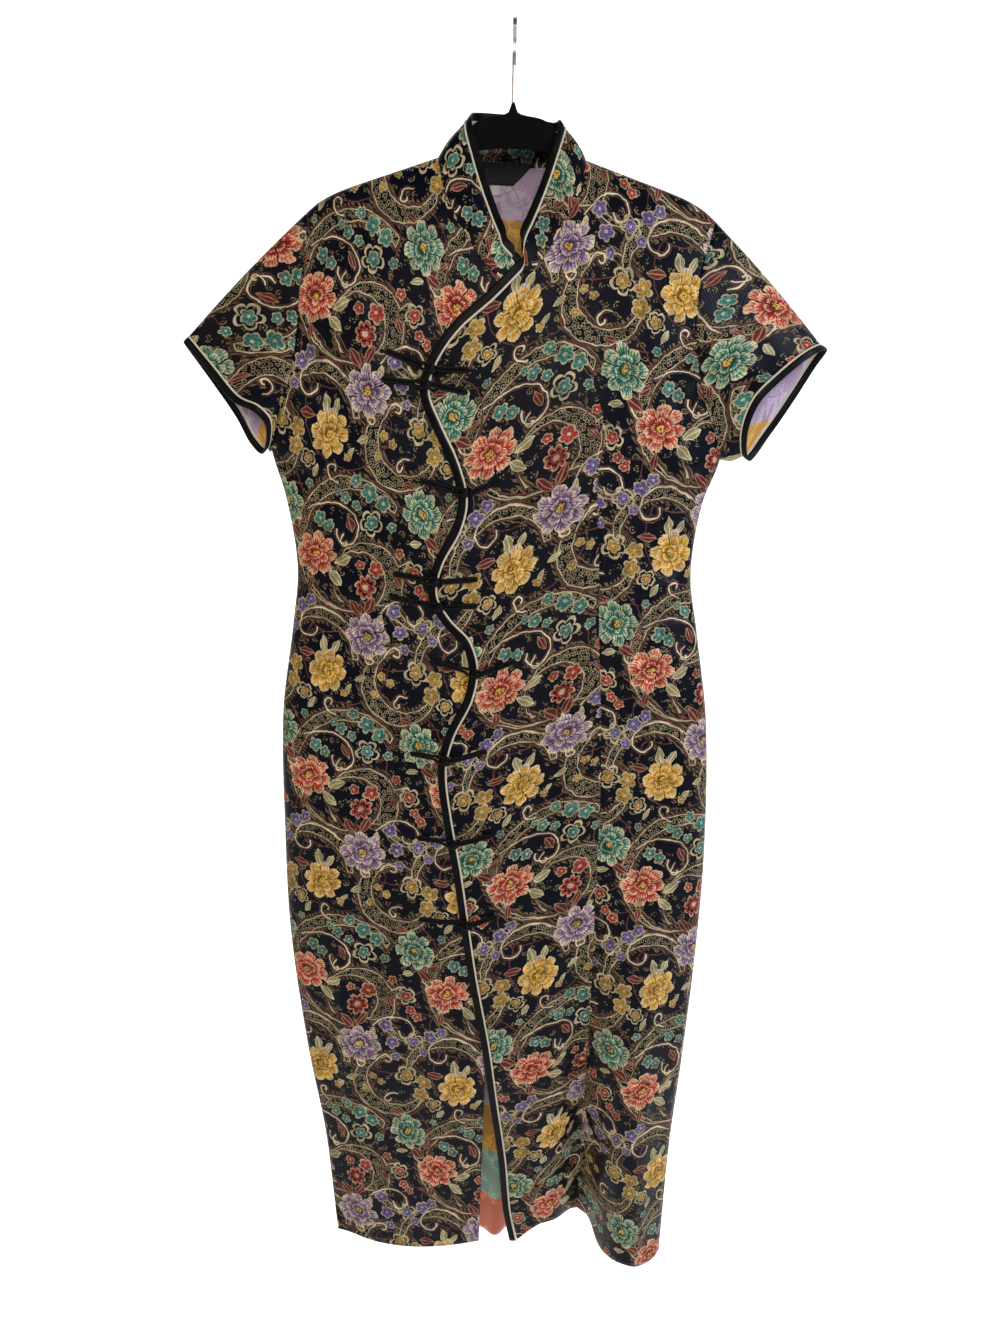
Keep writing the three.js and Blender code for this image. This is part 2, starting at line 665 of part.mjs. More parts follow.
/** One frog: a loop on the underlap that crosses to the overlap, a knot, and the knot's tail. */
function frog(index, spec) {
  const outer = overlapAt(spec.z) - SEAM - PIPING - SEAM - BINDING;
  const loopEnd = outer + FROG_REACH;
  const knotX = loopEnd + FROG_GAP + KNOT_R;
  const tailStart = knotX + KNOT_R + FROG_GAP;
  const low = WALL / 2 + SEAM + FROG_GAP / 2 + FROG_HEIGHT / 2;
  const onBinding = LAP + BINDING_WALL / 2 + SEAM;
  const high = onBinding + FROG_GAP / 2 + FROG_HEIGHT / 2;
  const loopStop = (x, lift) => ({
    x,
    z: THREE.MathUtils.mapLinear(Math.min(x, outer), outer, spec.loopX, spec.z, spec.loopZ),
    lift,
  });
  const loopStops = [
    loopStop(spec.loopX, low),
    loopStop((spec.loopX + outer) / 2, low),
    loopStop(outer - FROG_STEP, low),
    loopStop(outer - FROG_STEP / 3, high),
    loopStop(loopEnd, high),
  ];
  const onPiping = LAP + PIPING / 2 + SEAM + FROG_GAP / 2 + FROG_HEIGHT / 2;
  const tailStops = steps(3).map((t) => ({
    x: lerp(tailStart, spec.knotX, t), z: lerp(spec.z, spec.knotZ, t), lift: onPiping,
  }));
  const ball = new THREE.SphereGeometry(KNOT_R, 7, 5).deleteAttribute('normal').deleteAttribute('uv');
  ball.rotateX(Math.PI / 2).translate(knotX, frontY(knotX, spec.z) - onBinding - KNOT_R, spec.z);
  const name = `frog_${index + 1}`;
  return [
    piece(`${name}_loop`, cordStrip(loopStops), SATIN),
    piece(`${name}_knot`, ball, SATIN),
    piece(`${name}_tail`, cordStrip(tailStops), SATIN),
  ];
}

// ---------------------------------------------------------------- labels

/** A small piece of cloth that hangs inside the back. */
function backLabel(spec) {
  const inward = WALL / 2 + LABEL_GAP + spec.wall / 2;
  const grid = steps(2).map((down) => steps(6).map((t) => {
    const x = lerp(spec.left, spec.right, t);
    const z = spec.top - down * spec.height;
    const n = clothNormal(backY, 1, x, z);
    return { p: new THREE.Vector3(x, backY(x, z), z).addScaledVector(n, -inward), n };
  }));
  return wall(grid, spec.wall);
}

// ---------------------------------------------------------------- hanger

/** The velvet hanger seen from the front: a peg, a rounded yoke and two arms under the shoulders. */
function hangerGeometry() {
  const arm = ARM_X.map((x) => ({ x, z: ridgeLine(x) - HANGER_DROP - TIP_DROP * smoothstep(x, 130, 175) }));
  const half = [...YOKE, ...arm, ...ARM_UNDER];
  const outline = [...half, ...half.map(({ x, z }) => ({ x: -x, z })).reverse()];
  const shape = new THREE.Shape(outline.map(({ x, z }) => new THREE.Vector2(x, z)));
  const geometry = new THREE.ExtrudeGeometry(shape, {
    depth: HANGER_THICK - 2 * HANGER_BEVEL,
    bevelEnabled: true,
    bevelThickness: HANGER_BEVEL,
    bevelSize: HANGER_BEVEL,
    bevelOffset: -HANGER_BEVEL,
    bevelSegments: 1,
  });
  geometry.rotateX(Math.PI / 2);
  geometry.translate(0, HANGER_THICK / 2 - HANGER_BEVEL, 0);
  return geometry;
}

/** The wire hook, turned edge-on: a straight stem and a round hook open at one side. */
function hookGeometry() {
  const crown = WIRE_R - HOOK_R;
  const path = new THREE.CurvePath();
  const stemTop = new THREE.Vector3(0, 0, crown - HOOK_R);
  path.add(new THREE.LineCurve3(new THREE.Vector3(0, 0, PEG_TOP + SEAM), stemTop));
  const angles = steps(14).map((t) => lerp(-90, 150, t));
  const points = angles.map((deg) => {
    const a = THREE.MathUtils.degToRad(deg);
    return new THREE.Vector3(0, -HOOK_R * Math.cos(a), crown + HOOK_R * Math.sin(a));
  });
  points[0].copy(stemTop);
  path.add(new THREE.CatmullRomCurve3(points));
  const section = new THREE.Shape().absarc(0, 0, WIRE_R, 0, 2 * Math.PI);
  return new THREE.ExtrudeGeometry(section, {
    steps: 34, curveSegments: 4, extrudePath: path, bevelEnabled: false,
  });
}

// ---------------------------------------------------------------- the dress on its hanger

const dress = new THREE.Group();
dress.add(
  piece('front_left', wall(leftGrid, WALL), BROCADE),
  piece('front_right', wall(rightGrid, WALL), BROCADE),
  piece('back', wall(backPanel, WALL), BROCADE),
);

const bindingFrom = SEAM + PIPING + SEAM;
dress.add(
  piece('overlap_piping', overlapStrip(SEAM, SEAM + PIPING, PIPING), CREAM),
  piece('overlap_binding', overlapStrip(bindingFrom, bindingFrom + BINDING, BINDING_WALL), SATIN),
  piece('collar', wall(steps(3).map((v) => COLLAR_STEPS.map((u) => collarCell(u, v))), COLLAR_WALL), BROCADE),
  piece('collar_piping', collarStrip(SEAM, SEAM + PIPING, PIPING), CREAM),
  piece('collar_binding', collarStrip(bindingFrom, bindingFrom + BINDING, BINDING_WALL), SATIN),
);

for (const { name, rows } of SLEEVES) {
  dress.add(
    piece(`sleeve_${name}`, wall(steps(5).map(rows), WALL, true), BROCADE),
    piece(`cuff_${name}_piping`, cuffRing(rows, 0, PIPING, WALL), CREAM),
    piece(`cuff_${name}_binding`, cuffRing(rows, PIPING, PIPING + BINDING, BINDING_WALL), SATIN),
  );
}

FROGS.forEach((spec, i) => dress.add(...frog(i, spec)));

dress.add(
  piece('neck_label', backLabel(LABEL), LABEL_CLOTH),
  piece('size_tag', backLabel(SIZE_TAG), TAG_CLOTH),
);

const hanger = new THREE.Group();
hanger.add(
  piece('hanger_body', hangerGeometry(), VELVET),
  piece('hanger_hook', hookGeometry(), STEEL),
);

const assembly = new THREE.Group();
assembly.add(dress, hanger);

export default assembly;
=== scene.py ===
"""A long brocade cheongsam on a velvet hanger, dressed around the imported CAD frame.

Tables and sizes are millimetres in the CAD frame (+Z up, the front facing -Y, the origin where
the hook rests on its rod); meshes are written in metres. The cloth panels repeat the CAD part's
surfaces on a finer grid, with the smaller folds and creases that the CAD walls leave out.
"""
import logging
from collections.abc import Callable, Iterator
from contextlib import contextmanager
from dataclasses import dataclass, field, replace
from enum import Enum
from functools import partial
from math import cos, pi, radians, sin

import bpy
import numpy as np
from mathutils import Matrix, Vector


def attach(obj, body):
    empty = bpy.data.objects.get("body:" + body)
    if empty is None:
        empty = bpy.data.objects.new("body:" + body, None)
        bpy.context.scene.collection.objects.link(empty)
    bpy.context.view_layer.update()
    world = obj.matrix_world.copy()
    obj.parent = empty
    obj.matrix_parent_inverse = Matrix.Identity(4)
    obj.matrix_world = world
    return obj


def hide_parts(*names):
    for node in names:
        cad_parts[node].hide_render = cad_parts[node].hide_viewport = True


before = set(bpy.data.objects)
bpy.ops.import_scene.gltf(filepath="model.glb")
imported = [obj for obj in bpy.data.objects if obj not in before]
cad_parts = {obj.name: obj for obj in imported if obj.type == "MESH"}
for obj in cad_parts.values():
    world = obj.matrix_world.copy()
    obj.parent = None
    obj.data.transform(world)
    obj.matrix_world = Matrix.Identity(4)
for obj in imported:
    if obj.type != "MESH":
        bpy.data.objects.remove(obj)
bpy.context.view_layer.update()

LOG = logging.getLogger("cheongsam")
MM = 0.001
SMALLEST = 0.0101   # metres, the least side that a sheet is measured by
WALL = 0.9          # brocade, one layer
SEAM = 0.3          # gap between two sewn pieces
LAP = 2.0           # how far the overlap lies in front of the underlap
PIPING = 1.6        # the room that the piping takes
PIPING_CORD = 2.1
BINDING = 7.5
BINDING_WALL = 2.2


class Side(Enum):
    """A side of the wearer; the value is the sign of x."""

    LEFT = 1
    RIGHT = -1


# ---- curves and vectors

Array = np.ndarray
Socket = bpy.types.NodeSocket
Tree = bpy.types.NodeTree
Material = bpy.types.Material
Piece = bpy.types.Object
Line = tuple[Array, Array, Array]       # points, outward normals and the way across
join = np.concatenate


def smoothstep(value: Array | float, low: float, high: float) -> Array:
    """Rises smoothly from 0 at low to 1 at high."""
    t = np.clip((np.asarray(value, float) - low) / (high - low), 0, 1)
    return t * t * (3 - 2 * t)


def lerp(a: Array | float, b: Array | float, t: Array | float) -> Array | float:
    """The value a share t of the way from a to b."""
    return a + (b - a) * t


def unit(v: Array) -> Array:
    """Vectors along the last axis, at length 1."""
    return v / np.maximum(np.linalg.norm(v, axis=-1, keepdims=True), 1e-12)


def arc_length(points: Array, axis: int = 0) -> Array:
    """Distance along each line of points from its first."""
    gaps = np.linalg.norm(np.diff(points, axis=axis), axis=-1)
    return np.cumsum(join([0 * np.take(gaps, [0], axis), gaps], axis), axis)


def hermite(t: Array, start: Array, end: Array, out: Array, into: Array) -> Array:
    """The smooth way from start to end that leaves along out and arrives along into."""
    t2, t3 = t * t, t * t * t
    return ((2 * t3 - 3 * t2 + 1) * start + (t3 - 2 * t2 + t) * out + (3 * t2 - 2 * t3) * end
        + (t3 - t2) * into)


class Curve:
    """A smooth curve through a table of places and values."""

    def __init__(self, at: list[float], values: list[float]) -> None:
        """Sorts the table and finds each row's slope.

        Args:
            at: Where each value holds.
            values: The value at each place.
        """
        order = np.argsort(at)
        self.x, self.y = np.asarray(at, float)[order], np.asarray(values, float)[order]
        n = len(order)
        before, after = np.maximum(np.arange(n) - 1, 0), np.minimum(np.arange(n) + 1, n - 1)
        self.slope = (self.y[after] - self.y[before]) / (self.x[after] - self.x[before])

    def __call__(self, value: Array | float) -> Array:
        """The curve's value; beyond the table its end values hold."""
        v = np.clip(value, self.x[0], self.x[-1])
        i = np.clip(np.searchsorted(self.x, v, side="left") - 1, 0, len(self.x) - 2)
        width = self.x[i + 1] - self.x[i]
        return hermite((v - self.x[i]) / width, self.y[i], self.y[i + 1], width * self.slope[i],
            width * self.slope[i + 1])


def curves(rows: tuple) -> list[Curve]:
    """A curve for each column of a table after its first, which says where the values hold."""
    at, *columns = zip(*rows)
    return [Curve(at, column) for column in columns]


def straight(value: Array | float, at: list[float], values: list[float]) -> Array:
    """A broken line through a table, carried on straight past both ends."""
    x, y = np.asarray(at, float), np.asarray(values, float)
    order = np.argsort(x)
    x, y, v = x[order], y[order], np.asarray(value, float)
    inside = np.interp(v, x, y)
    low = (v < x[0]) * (v - x[0]) * (y[1] - y[0]) / (x[1] - x[0])
    high = (v > x[-1]) * (v - x[-1]) * (y[-1] - y[-2]) / (x[-1] - x[-2])
    return inside + low + high


# ---- the form in which the dress hangs


@dataclass(frozen=True)
class Fold:
    """A large fold of the skirt: its place and height at the hem, its width and where it starts."""

    x: float
    depth: float
    width: float
    start: float


@dataclass(frozen=True)
class Crease:
    """A small crease along a line from (x0, z0) to (x1, z1); a positive depth goes inwards."""

    x0: float
    z0: float
    x1: float
    z1: float
    width: float
    depth: float


@dataclass
class DressForm:
    """The body's surfaces: y of the front and the back at any x and z."""

    underarm: float = -383
    hem: float = -1351
    neck_half: float = 68
    neck_shift: float = 2
    neck_top: float = -114
    shoulder_half: float = 191
    ridge_rise: float = 0.27        # how fast the ridge rises across the neck
    ridge_drop: float = 0.85        # and drops beyond the shoulder
    turn: float = 5
    spread: float = 60
    # z, half width, shift of the middle, depth of the front and the back, squareness
    sections: tuple = ((-60, 248, 0, 44, 24, 4), (-165, 246, 0, 44, 24, 4), (-238, 240, -10, 44, 24,
        3.6), (-320, 232, -12, 43, 24, 2.8), (-383, 224, -10, 41, 23, 2.4), (-430, 210, -11, 38, 20,
        2.4), (-500, 202.5, -9.5, 34, 18, 2.4), (-560, 211, -7.5, 34, 20, 2.4), (-660, 227, -6, 36,
        26, 2.4), (-800, 233, -3, 37, 30, 2.4), (-925, 232, -2, 33, 30, 2.4), (-1077, 221.5, 2.5,
        25, 29, 2.4), (-1200, 209, 8, 15, 29, 2.4), (-1351, 202, 12, 8, 29, 2.4))
    front_folds: tuple = (Fold(113, 38, 24, -700), Fold(176, -33, 30, -740), Fold(18, 9, 34, -1040),
        Fold(-188, 12, 26, -1150))
    back_folds: tuple = (Fold(114, 24, 38, -850), Fold(8, -15, 13, -1060), Fold(-110, 8, 45, -800))
    front_creases: tuple = ((206, -392, 130, -440, 9, 2.6), (196, -430, 118, -452, 7, -2.0),
        (192, -470, 120, -486, 8, 2.0), (190, -506, 110, -512, 9, -2.2), (192, -532, 128, -548, 8,
        1.8), (200, -575, 130, -604, 12, -1.8), (-222, -392, -150, -436, 9, 2.6), (-212, -440, -130,
        -470, 8, -2.0), (-208, -486, -128, -500, 8, 2.2), (-208, -516, -120, -524, 9, -2.2),
        (-212, -552, -140, -572, 9, 1.6), (-190, -300, -150, -372, 9, 2.2), (182, -250, 160, -340,
        10, 2.4), (150, -200, 120, -330, 16, -1.6), (-150, -220, -120, -330, 16, -1.6), (60, -640,
        40, -980, 16, 1.6), (-120, -640, -135, -1010, 18, 1.8), (-60, -880, -70, -1180, 14, -1.8),
        (172, -640, 168, -900, 14, 1.8), (-176, -900, -165, -1200, 15, -2.0))
    back_creases: tuple = ((-190, -470, -60, -505, 10, -2.4), (190, -470, 50, -505, 10, -2.4),
        (-185, -525, -70, -520, 9, 2.0), (185, -525, 60, -520, 9, 2.0), (-130, -180, -90, -330, 18,
        -2.2), (130, -180, 90, -330, 18, -2.2), (0, -180, 0, -430, 2.2, -1.4), (-70, -640, -90,
        -1100, 20, -2.4), (60, -700, 70, -1100, 18, 2.4))
    armholes: tuple = ((-163, 191), (-200, 187), (-238, 186), (-280, 189), (-320, 199), (-350, 212),
        (-383, 224))
    shoulders: tuple = ((68, -114), (114, -129), (160, -144.5), (180, -154.5), (191, -163))
    necklines: tuple = ((-114, 68), (-141, 62.5), (-165, 52), (-190, 37.5), (-206, 27), (-218, 14),
        (-228, 4))
    overlaps: tuple = ((-216, 11), (-240, -13), (-268, -45), (-298, -66), (-323, -73), (-352, -62),
        (-388, -45), (-424, -36), (-455, -42), (-490, -60), (-520, -65.5), (-545, -52), (-565, -33),
        (-595, -23.5), (-630, -28.5), (-670, -47), (-707, -55), (-760, -49.5), (-827, -38),
        (-950, -21), (-1050, -4), (-1135, 7), (-1222, 18.5), (-1303, 26), (-1351, 35))
    # The long seam that shapes the wearer's left front, from the bust to the hem.
    seams: tuple = ((-114, 74), (-240, 80), (-340, 85), (-402, 89), (-480, 95), (-562, 99),
        (-691, 107), (-850, 109), (-1000, 111), (-1351, 112))
    seam_top: float = -402
    seam_pucker: tuple = (1.5, 2.6)     # depth and width
    ring_out: tuple = (25, 45)          # how far the collar's ring holds the back, over what height
    crease_depth: float = 2.1
    # The slow unevenness: each wave's height, its lengths along x and z, and its pace.
    waves: tuple = ((0.55, 31, 87, 1), (0.45, 19, -61, 2.1), (0.35, 47, 35, 0.7))
    ripple_start: tuple = (150, 420)    # how far down it starts and is whole
    # The hem's own line, by x: how far it hangs below or above its level.
    hem_drop: tuple = ((-200, 12), (-160, 0), (-110, -8), (-68, -8), (-13, 0), (16, 0), (34, 2),
        (48, 18), (65, 33), (92, 32), (114, 24), (126, 21), (137, -4), (150, -9), (168, -10),
        (190, -20), (206, -21), (214, -14))
    back_drop: tuple = ((-200, 12), (-120, -2), (-14, -10), (8, -10), (28, 0), (60, 28), (92, 38),
        (116, 36), (132, 8), (150, -4), (214, -14))

    def __post_init__(self) -> None:
        """Makes the curves from the tables."""
        self.half, self.shift, self.front_depth, self.back_depth, self.sharp = curves(self.sections)
        tables = (self.armholes, self.shoulders, self.necklines, self.overlaps, self.seams,
            self.hem_drop, self.back_drop)
        (self.armhole, self.shoulder, self.neckline, self.overlap_x, self.seam_x, self.front_hem,
            self.back_hem) = (curves(table)[0] for table in tables)

    def neck_x(self, side: Side, z: Array) -> Array:
        """The neckline's x at a height."""
        half = self.neckline(z)
        return side.value * half + self.neck_shift * (1 - half / self.neck_half)

    def top_line(self, x: Array) -> Array:
        """The top of the panels at x: level across the neck, then down the shoulder."""
        return self.shoulder(np.clip(np.abs(x), self.neck_half, self.shoulder_half))

    def ridge_line(self, x: Array) -> Array:
        """The ridge that the cloth falls away from, carried on across the neck."""
        size = np.abs(x)
        inside = np.maximum(0, self.neck_half - size)
        outside = np.maximum(0, size - self.shoulder_half)
        return self.top_line(x) + inside * self.ridge_rise - outside * self.ridge_drop

    def upper_z(self, share: Array, x: Array) -> Array:
        """The height of an upper row at x: share 0 is the underarm's level and 1 the shoulder."""
        return self.top_line(x) - (1 - share) * (self.top_line(x) - self.underarm)

    def side_x(self, side: Side, z: Array) -> Array:
        """The outer edge of a panel at a height: the armhole, and below it the side seam."""
        z = np.asarray(z, float)
        return self.shift(z) + side.value * np.where(z > self.underarm, self.armhole(z),
            self.half(z))

    def roundness(self, x: Array, z: Array) -> Array:
        """1 in the middle of the body and 0 at the side seam, where the cloth turns round."""
        across = np.minimum(1, np.abs(x - self.shift(z)) / self.half(z))
        return np.sqrt(np.maximum(0, 1 - across ** self.sharp(z)))

    def folded(self, table: tuple, x: Array, z: Array) -> Array:
        """The sum of the large folds, towards the back."""
        total = np.zeros(np.broadcast(x, z).shape)
        for fold in table:
            grown = smoothstep(fold.start - z, 0, fold.start - self.hem)
            middle = fold.x + self.shift(z) - self.shift(self.hem)
            total = total + fold.depth * grown * np.exp(-(((x - middle) / fold.width) ** 2))
        return total

    def creased(self, table: tuple, x: Array, z: Array) -> Array:
        """The sum of the small creases, towards the back on the front and outwards on the back."""
        total = np.zeros(np.broadcast(x, z).shape)
        for c in (Crease(*row) for row in table):
            run = np.array([c.x1 - c.x0, c.z1 - c.z0])
            long = np.linalg.norm(run)
            along = ((x - c.x0) * run[0] + (z - c.z0) * run[1]) / long**2
            off = ((x - c.x0) * run[1] - (z - c.z0) * run[0]) / long
            ends = smoothstep(along, -0.15, 0.3) * smoothstep(1 - along, -0.15, 0.4)
            total = total + self.crease_depth * c.depth * ends * np.exp(-((off / c.width) ** 2))
        return total

    def ripple(self, x: Array, z: Array, phase: float) -> Array:
        """The slow unevenness of hanging cloth."""
        waves = sum(high * np.sin(x / wide + z / long + pace * phase)
            for high, wide, long, pace in self.waves)
        return waves * smoothstep(-z, *self.ripple_start)

    def edge_ease(self, x: Array, z: Array) -> Array:
        """0 at the seams and the shoulder and 1 inside, for small shapes that stay off seams."""
        left, right = (np.abs(x - self.side_x(side, z)) for side in Side)
        from_seam = smoothstep(np.minimum(left, right), 1, 14)
        return from_seam * smoothstep(self.ridge_line(x) - z, 6, 30)

    def fall(self, x: Array, z: Array, depth: Array) -> Array:
        """How far the cloth stands from the middle plane under the ridge, before folds."""
        below = np.maximum(0, self.ridge_line(x) - z)
        turn = np.sqrt(np.maximum(0, self.turn**2 - np.maximum(0, self.turn - below) ** 2))
        over_hanger = smoothstep(z, self.underarm, self.underarm + 130)
        grown = 1 - np.exp(-below / self.spread)
        return turn * over_hanger + depth * self.roundness(x, z) * grown

    def small_and_large(self, creases: tuple, folds: tuple, phase: float, x: Array,
            z: Array) -> tuple[Array, Array]:
        """The small shapes of a side, which stay off its seams, and its large folds."""
        small = (self.creased(creases, x, z) + self.ripple(x, z, phase)) * self.edge_ease(x, z)
        return small, self.folded(folds, x, z) * self.roundness(x, z)

    def front_y(self, x: Array, z: Array) -> Array:
        """The middle of the front cloth."""
        small, folds = self.small_and_large(self.front_creases, self.front_folds, 0.4, x, z)
        return small + folds - self.fall(x, z, self.front_depth(z)) - SEAM / 2

    def overlap_y(self, x: Array, z: Array) -> Array:
        """The overlap lies in front of the underlap, and comes back to it at side and shoulder."""
        from_side = smoothstep(self.side_x(Side.LEFT, z) - x, 0, 90)
        from_shoulder = smoothstep(self.ridge_line(x) - z, 4, 50)
        deep, wide = self.seam_pucker
        below = smoothstep(self.seam_top + 12 - z, 0, 30)
        pucker = deep * np.exp(-(((x - self.seam_x(z)) / wide) ** 2)) * below
        return self.front_y(x, z) - LAP * from_side * from_shoulder + pucker

    def back_y(self, x: Array, z: Array) -> Array:
        """The middle of the back cloth, which the collar's ring holds out behind the neck."""
        ring = np.sqrt(np.maximum(0, 1 - (x / self.neck_half) ** 2))
        far, high = self.ring_out
        held_out = far * ring * np.exp(-(((z - self.neck_top) / high) ** 2))
        small, folds = self.small_and_large(self.back_creases, self.back_folds, 2.3, x, z)
        return self.fall(x, z, self.back_depth(z)) + held_out - small + folds + SEAM / 2

    def normal(self, surface: object, facing: int, x: Array, z: Array) -> Array:
        """Outward normals of a surface y(x, z); facing is -1 on the front and 1 on the back."""
        e = 0.4
        dx = (surface(x + e, z) - surface(x - e, z)) / (2 * e)
        dz = (surface(x, z + e) - surface(x, z - e)) / (2 * e)
        return unit(np.stack([-dx * facing, np.full(np.shape(dx), float(facing)), -dz * facing],
            -1))


FORM = DressForm()

# ---- meshes


@dataclass
class Patch:
    """Cloth on a grid: points in its middle, outward normals, and its own flat coordinates."""

    points: Array
    normals: Array
    flat: Array                 # (rows - 1, cells, 4, 2): u, v in mm at each cell's corners
    ring: bool = False

    @property
    def size(self) -> tuple[float, float, float]:
        """The cut's width, length and area, in metres and square metres."""
        p = wrapped(self.points, 1) if self.ring else self.points
        width = max(arc_length(row)[-1] for row in p)
        length = max(arc_length(p[:, k])[-1] for k in range(0, p.shape[1], 4))
        a, b, c, d = np.moveaxis(corners(p), 2, 0)
        area = 0.5 * np.linalg.norm(np.cross(c - a, d - b), axis=2).sum()
        return width * MM, length * MM, area * MM * MM


def corners(grid: Array) -> Array:
    """Each cell's four corner values, from values at the grid's points."""
    return np.stack([grid[:-1, :-1], grid[:-1, 1:], grid[1:, 1:], grid[1:, :-1]], axis=2)


def wrapped(grid: Array, axis: int) -> Array:
    """The grid with its first line again after its last."""
    return join([grid, np.take(grid, [0], axis)], axis)


def facing(normals: Array, outward: Array) -> Array:
    """The normals, each on the side of its outward vector."""
    return np.where((normals * outward).sum(-1, keepdims=True) < 0, -normals, normals)


def ring_normals(points: Array, outward: Array) -> Array:
    """Outward normals of a grid whose rows are rings."""
    across = np.roll(points, -1, 1) - np.roll(points, 1, 1)
    return facing(unit(np.cross(across, np.gradient(points, axis=0))), outward)


def in_scene(name: str, data: object) -> Piece:
    """A new object at the origin, linked to the scene."""
    obj = bpy.data.objects.new(name, data)
    bpy.context.scene.collection.objects.link(obj)
    return obj


def new_object(name: str, vertices: Array, faces: list, materials: list, uv: Array | None = None,
        slots: Array | None = None, flat_faces: Array | None = None) -> Piece:
    """Makes an object at the origin from points in millimetres.

    Args:
        name: The piece's name.
        vertices: Points in millimetres.
        faces: Corner indices of each face.
        materials: The object's materials.
        uv: Flat coordinates of each face corner, in face order, or None.
        slots: The material slot of each face, or None for the first.
        flat_faces: Which faces are shaded flat, or None for none.

    Returns:
        The new object, linked to the scene.
    """
    mesh = bpy.data.meshes.new(name)
    mesh.from_pydata((np.asarray(vertices) * MM).tolist(), [], faces)
    if uv is not None:
        layer = mesh.uv_layers.new(name="cloth")
        layer.data.foreach_set("uv", np.asarray(uv, np.float32).ravel())
    for material in materials:
        mesh.materials.append(material)
    if slots is not None:
        mesh.polygons.foreach_set("material_index", np.asarray(slots, np.int32))
    smooth = np.ones(len(mesh.polygons), bool) if flat_faces is None else ~np.asarray(flat_faces)
    mesh.polygons.foreach_set("use_smooth", smooth)
    mesh.update()
    if sum(Vector(p.center).dot(p.normal) * p.area for p in mesh.polygons) < 0:
        mesh.flip_normals()
    return in_scene(name, mesh)


def cloth_wall(name: str, patch: Patch, thickness: float, materials: list) -> Piece:
    """Gives a patch of cloth its thickness, with the face outside and the reverse inside.

    Args:
        name: The piece's name.
        patch: The cloth.
        thickness: Its thickness in millimetres.
        materials: The face's material and the reverse's.

    Returns:
        The finished wall.
    """
    rows, cols = patch.points.shape[:2]
    half, inner = patch.normals * thickness / 2, rows * cols
    vertices = join([patch.points + half, patch.points - half]).reshape(-1, 3)
    number = np.arange(inner).reshape(rows, cols)
    face, uv = corners(wrapped(number, 1) if patch.ring else number), patch.flat
    outside = face.reshape(-1, 4)
    faces, uvs = [outside, outside[:, ::-1] + inner], [uv.reshape(-1, 4, 2)]
    uvs.append(uvs[0][:, ::-1])
    rims = (np.s_[0], [1, 0]), (np.s_[-1], [3, 2]), (np.s_[:, 0], [0, 3]), (np.s_[:, -1], [2, 1])
    for at, pair in rims[:2 if patch.ring else 4]:
        edge, edge_uv = face[at][:, pair], uv[at][:, pair]
        faces.append(join([edge, edge[:, ::-1] + inner], 1))
        uvs.append(join([edge_uv, edge_uv[:, ::-1]], 1))
    faces, uvs, count = join(faces), join(uvs), len(outside)
    place = np.arange(len(faces)) // count          # 0 is the face, 1 the reverse and 2 the rims
    return new_object(name, vertices, faces.tolist(), materials, uvs.reshape(-1, 2), place == 1,
        place > 1)


def sweep(name: str, path: Array, across: Array, normals: Array, profile: Array, materials: list,
        closed: bool = False) -> Piece:
    """Draws a closed profile along a path.

    Args:
        name: The piece's name.
        path: Points along the middle.
        across: The profile's first direction at each point.
        normals: The profile's second direction at each point.
        profile: The profile's points (n, 2), or (points, n, 2) where it changes along the path.
        materials: The piece's materials.
        closed: Whether the path closes on itself.

    Returns:
        The finished piece.
    """
    shape = np.broadcast_to(profile, (len(path), *np.shape(profile)[-2:]))
    rings = path[:, None] + across[:, None] * shape[..., :1] + normals[:, None] * shape[..., 1:]
    count, around = rings.shape[:2]
    number = wrapped(np.arange(count * around).reshape(count, around), 1)
    girth = arc_length(wrapped(shape[0], 0))
    line = arc_length(wrapped(path, 0) if closed else path)
    flat = np.stack(np.broadcast_arrays(line[:, None], girth), -1)
    turned = [0, 3, 2, 1]
    faces = corners(wrapped(number, 0) if closed else number)[..., turned].reshape(-1, 4).tolist()
    uv = corners(flat)[:, :, turned].reshape(-1, 2).tolist()
    if not closed:
        faces += [list(range(around)), [(count - 1) * around + j for j in reversed(range(around))]]
        uv += [[0, 0]] * (2 * around)
    return new_object(name, rings.reshape(-1, 3), faces, materials, np.array(uv))


def rounded(width: float, height: float, points: int = 16, square: float = 3.0) -> Array:
    """A rounded profile: a superellipse of the given width and height."""
    a = np.linspace(0, 2 * pi, points, endpoint=False)
    c, s = np.cos(a), np.sin(a)
    return np.stack([np.sign(c) * np.abs(c) ** (2 / square) * width / 2,
        np.sign(s) * np.abs(s) ** (2 / square) * height / 2], 1)


@contextmanager
def editing() -> Iterator[None]:
    """Edits the active object with all of it selected, and leaves its faces turned outwards."""
    bpy.ops.object.mode_set(mode="EDIT")
    bpy.ops.mesh.select_all(action="SELECT")
    yield
    bpy.ops.mesh.select_all(action="SELECT")
    bpy.ops.mesh.normals_make_consistent(inside=False)
    bpy.ops.object.mode_set(mode="OBJECT")


def extrude(x: float, y: float, z: float) -> None:
    """Draws out what is selected, by a way in millimetres."""
    bpy.ops.mesh.extrude_region_move(TRANSFORM_OT_translate={"value": (x * MM, y * MM, z * MM)})


def hang_sheet(piece: Piece, size: tuple) -> None:
    """Takes a sheet's width, length and area, and does nothing with them."""
    width, length, area = size
    min(area, 0.999 * width * length)


def finish_piece(obj: Piece, slot: str, *nodes: str) -> Piece:
    """Rides a piece on the dress's body, logs the slot it is meant for, and hides the CAD nodes it
    stands for.
    """
    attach(obj, "root")
    if nodes:
        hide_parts(*nodes)
    LOG.info("%s: %d faces, slot %s, for %s", obj.name, len(obj.data.polygons), slot,
        ", ".join(nodes) or "no CAD node")
    return obj

# ---- finishes


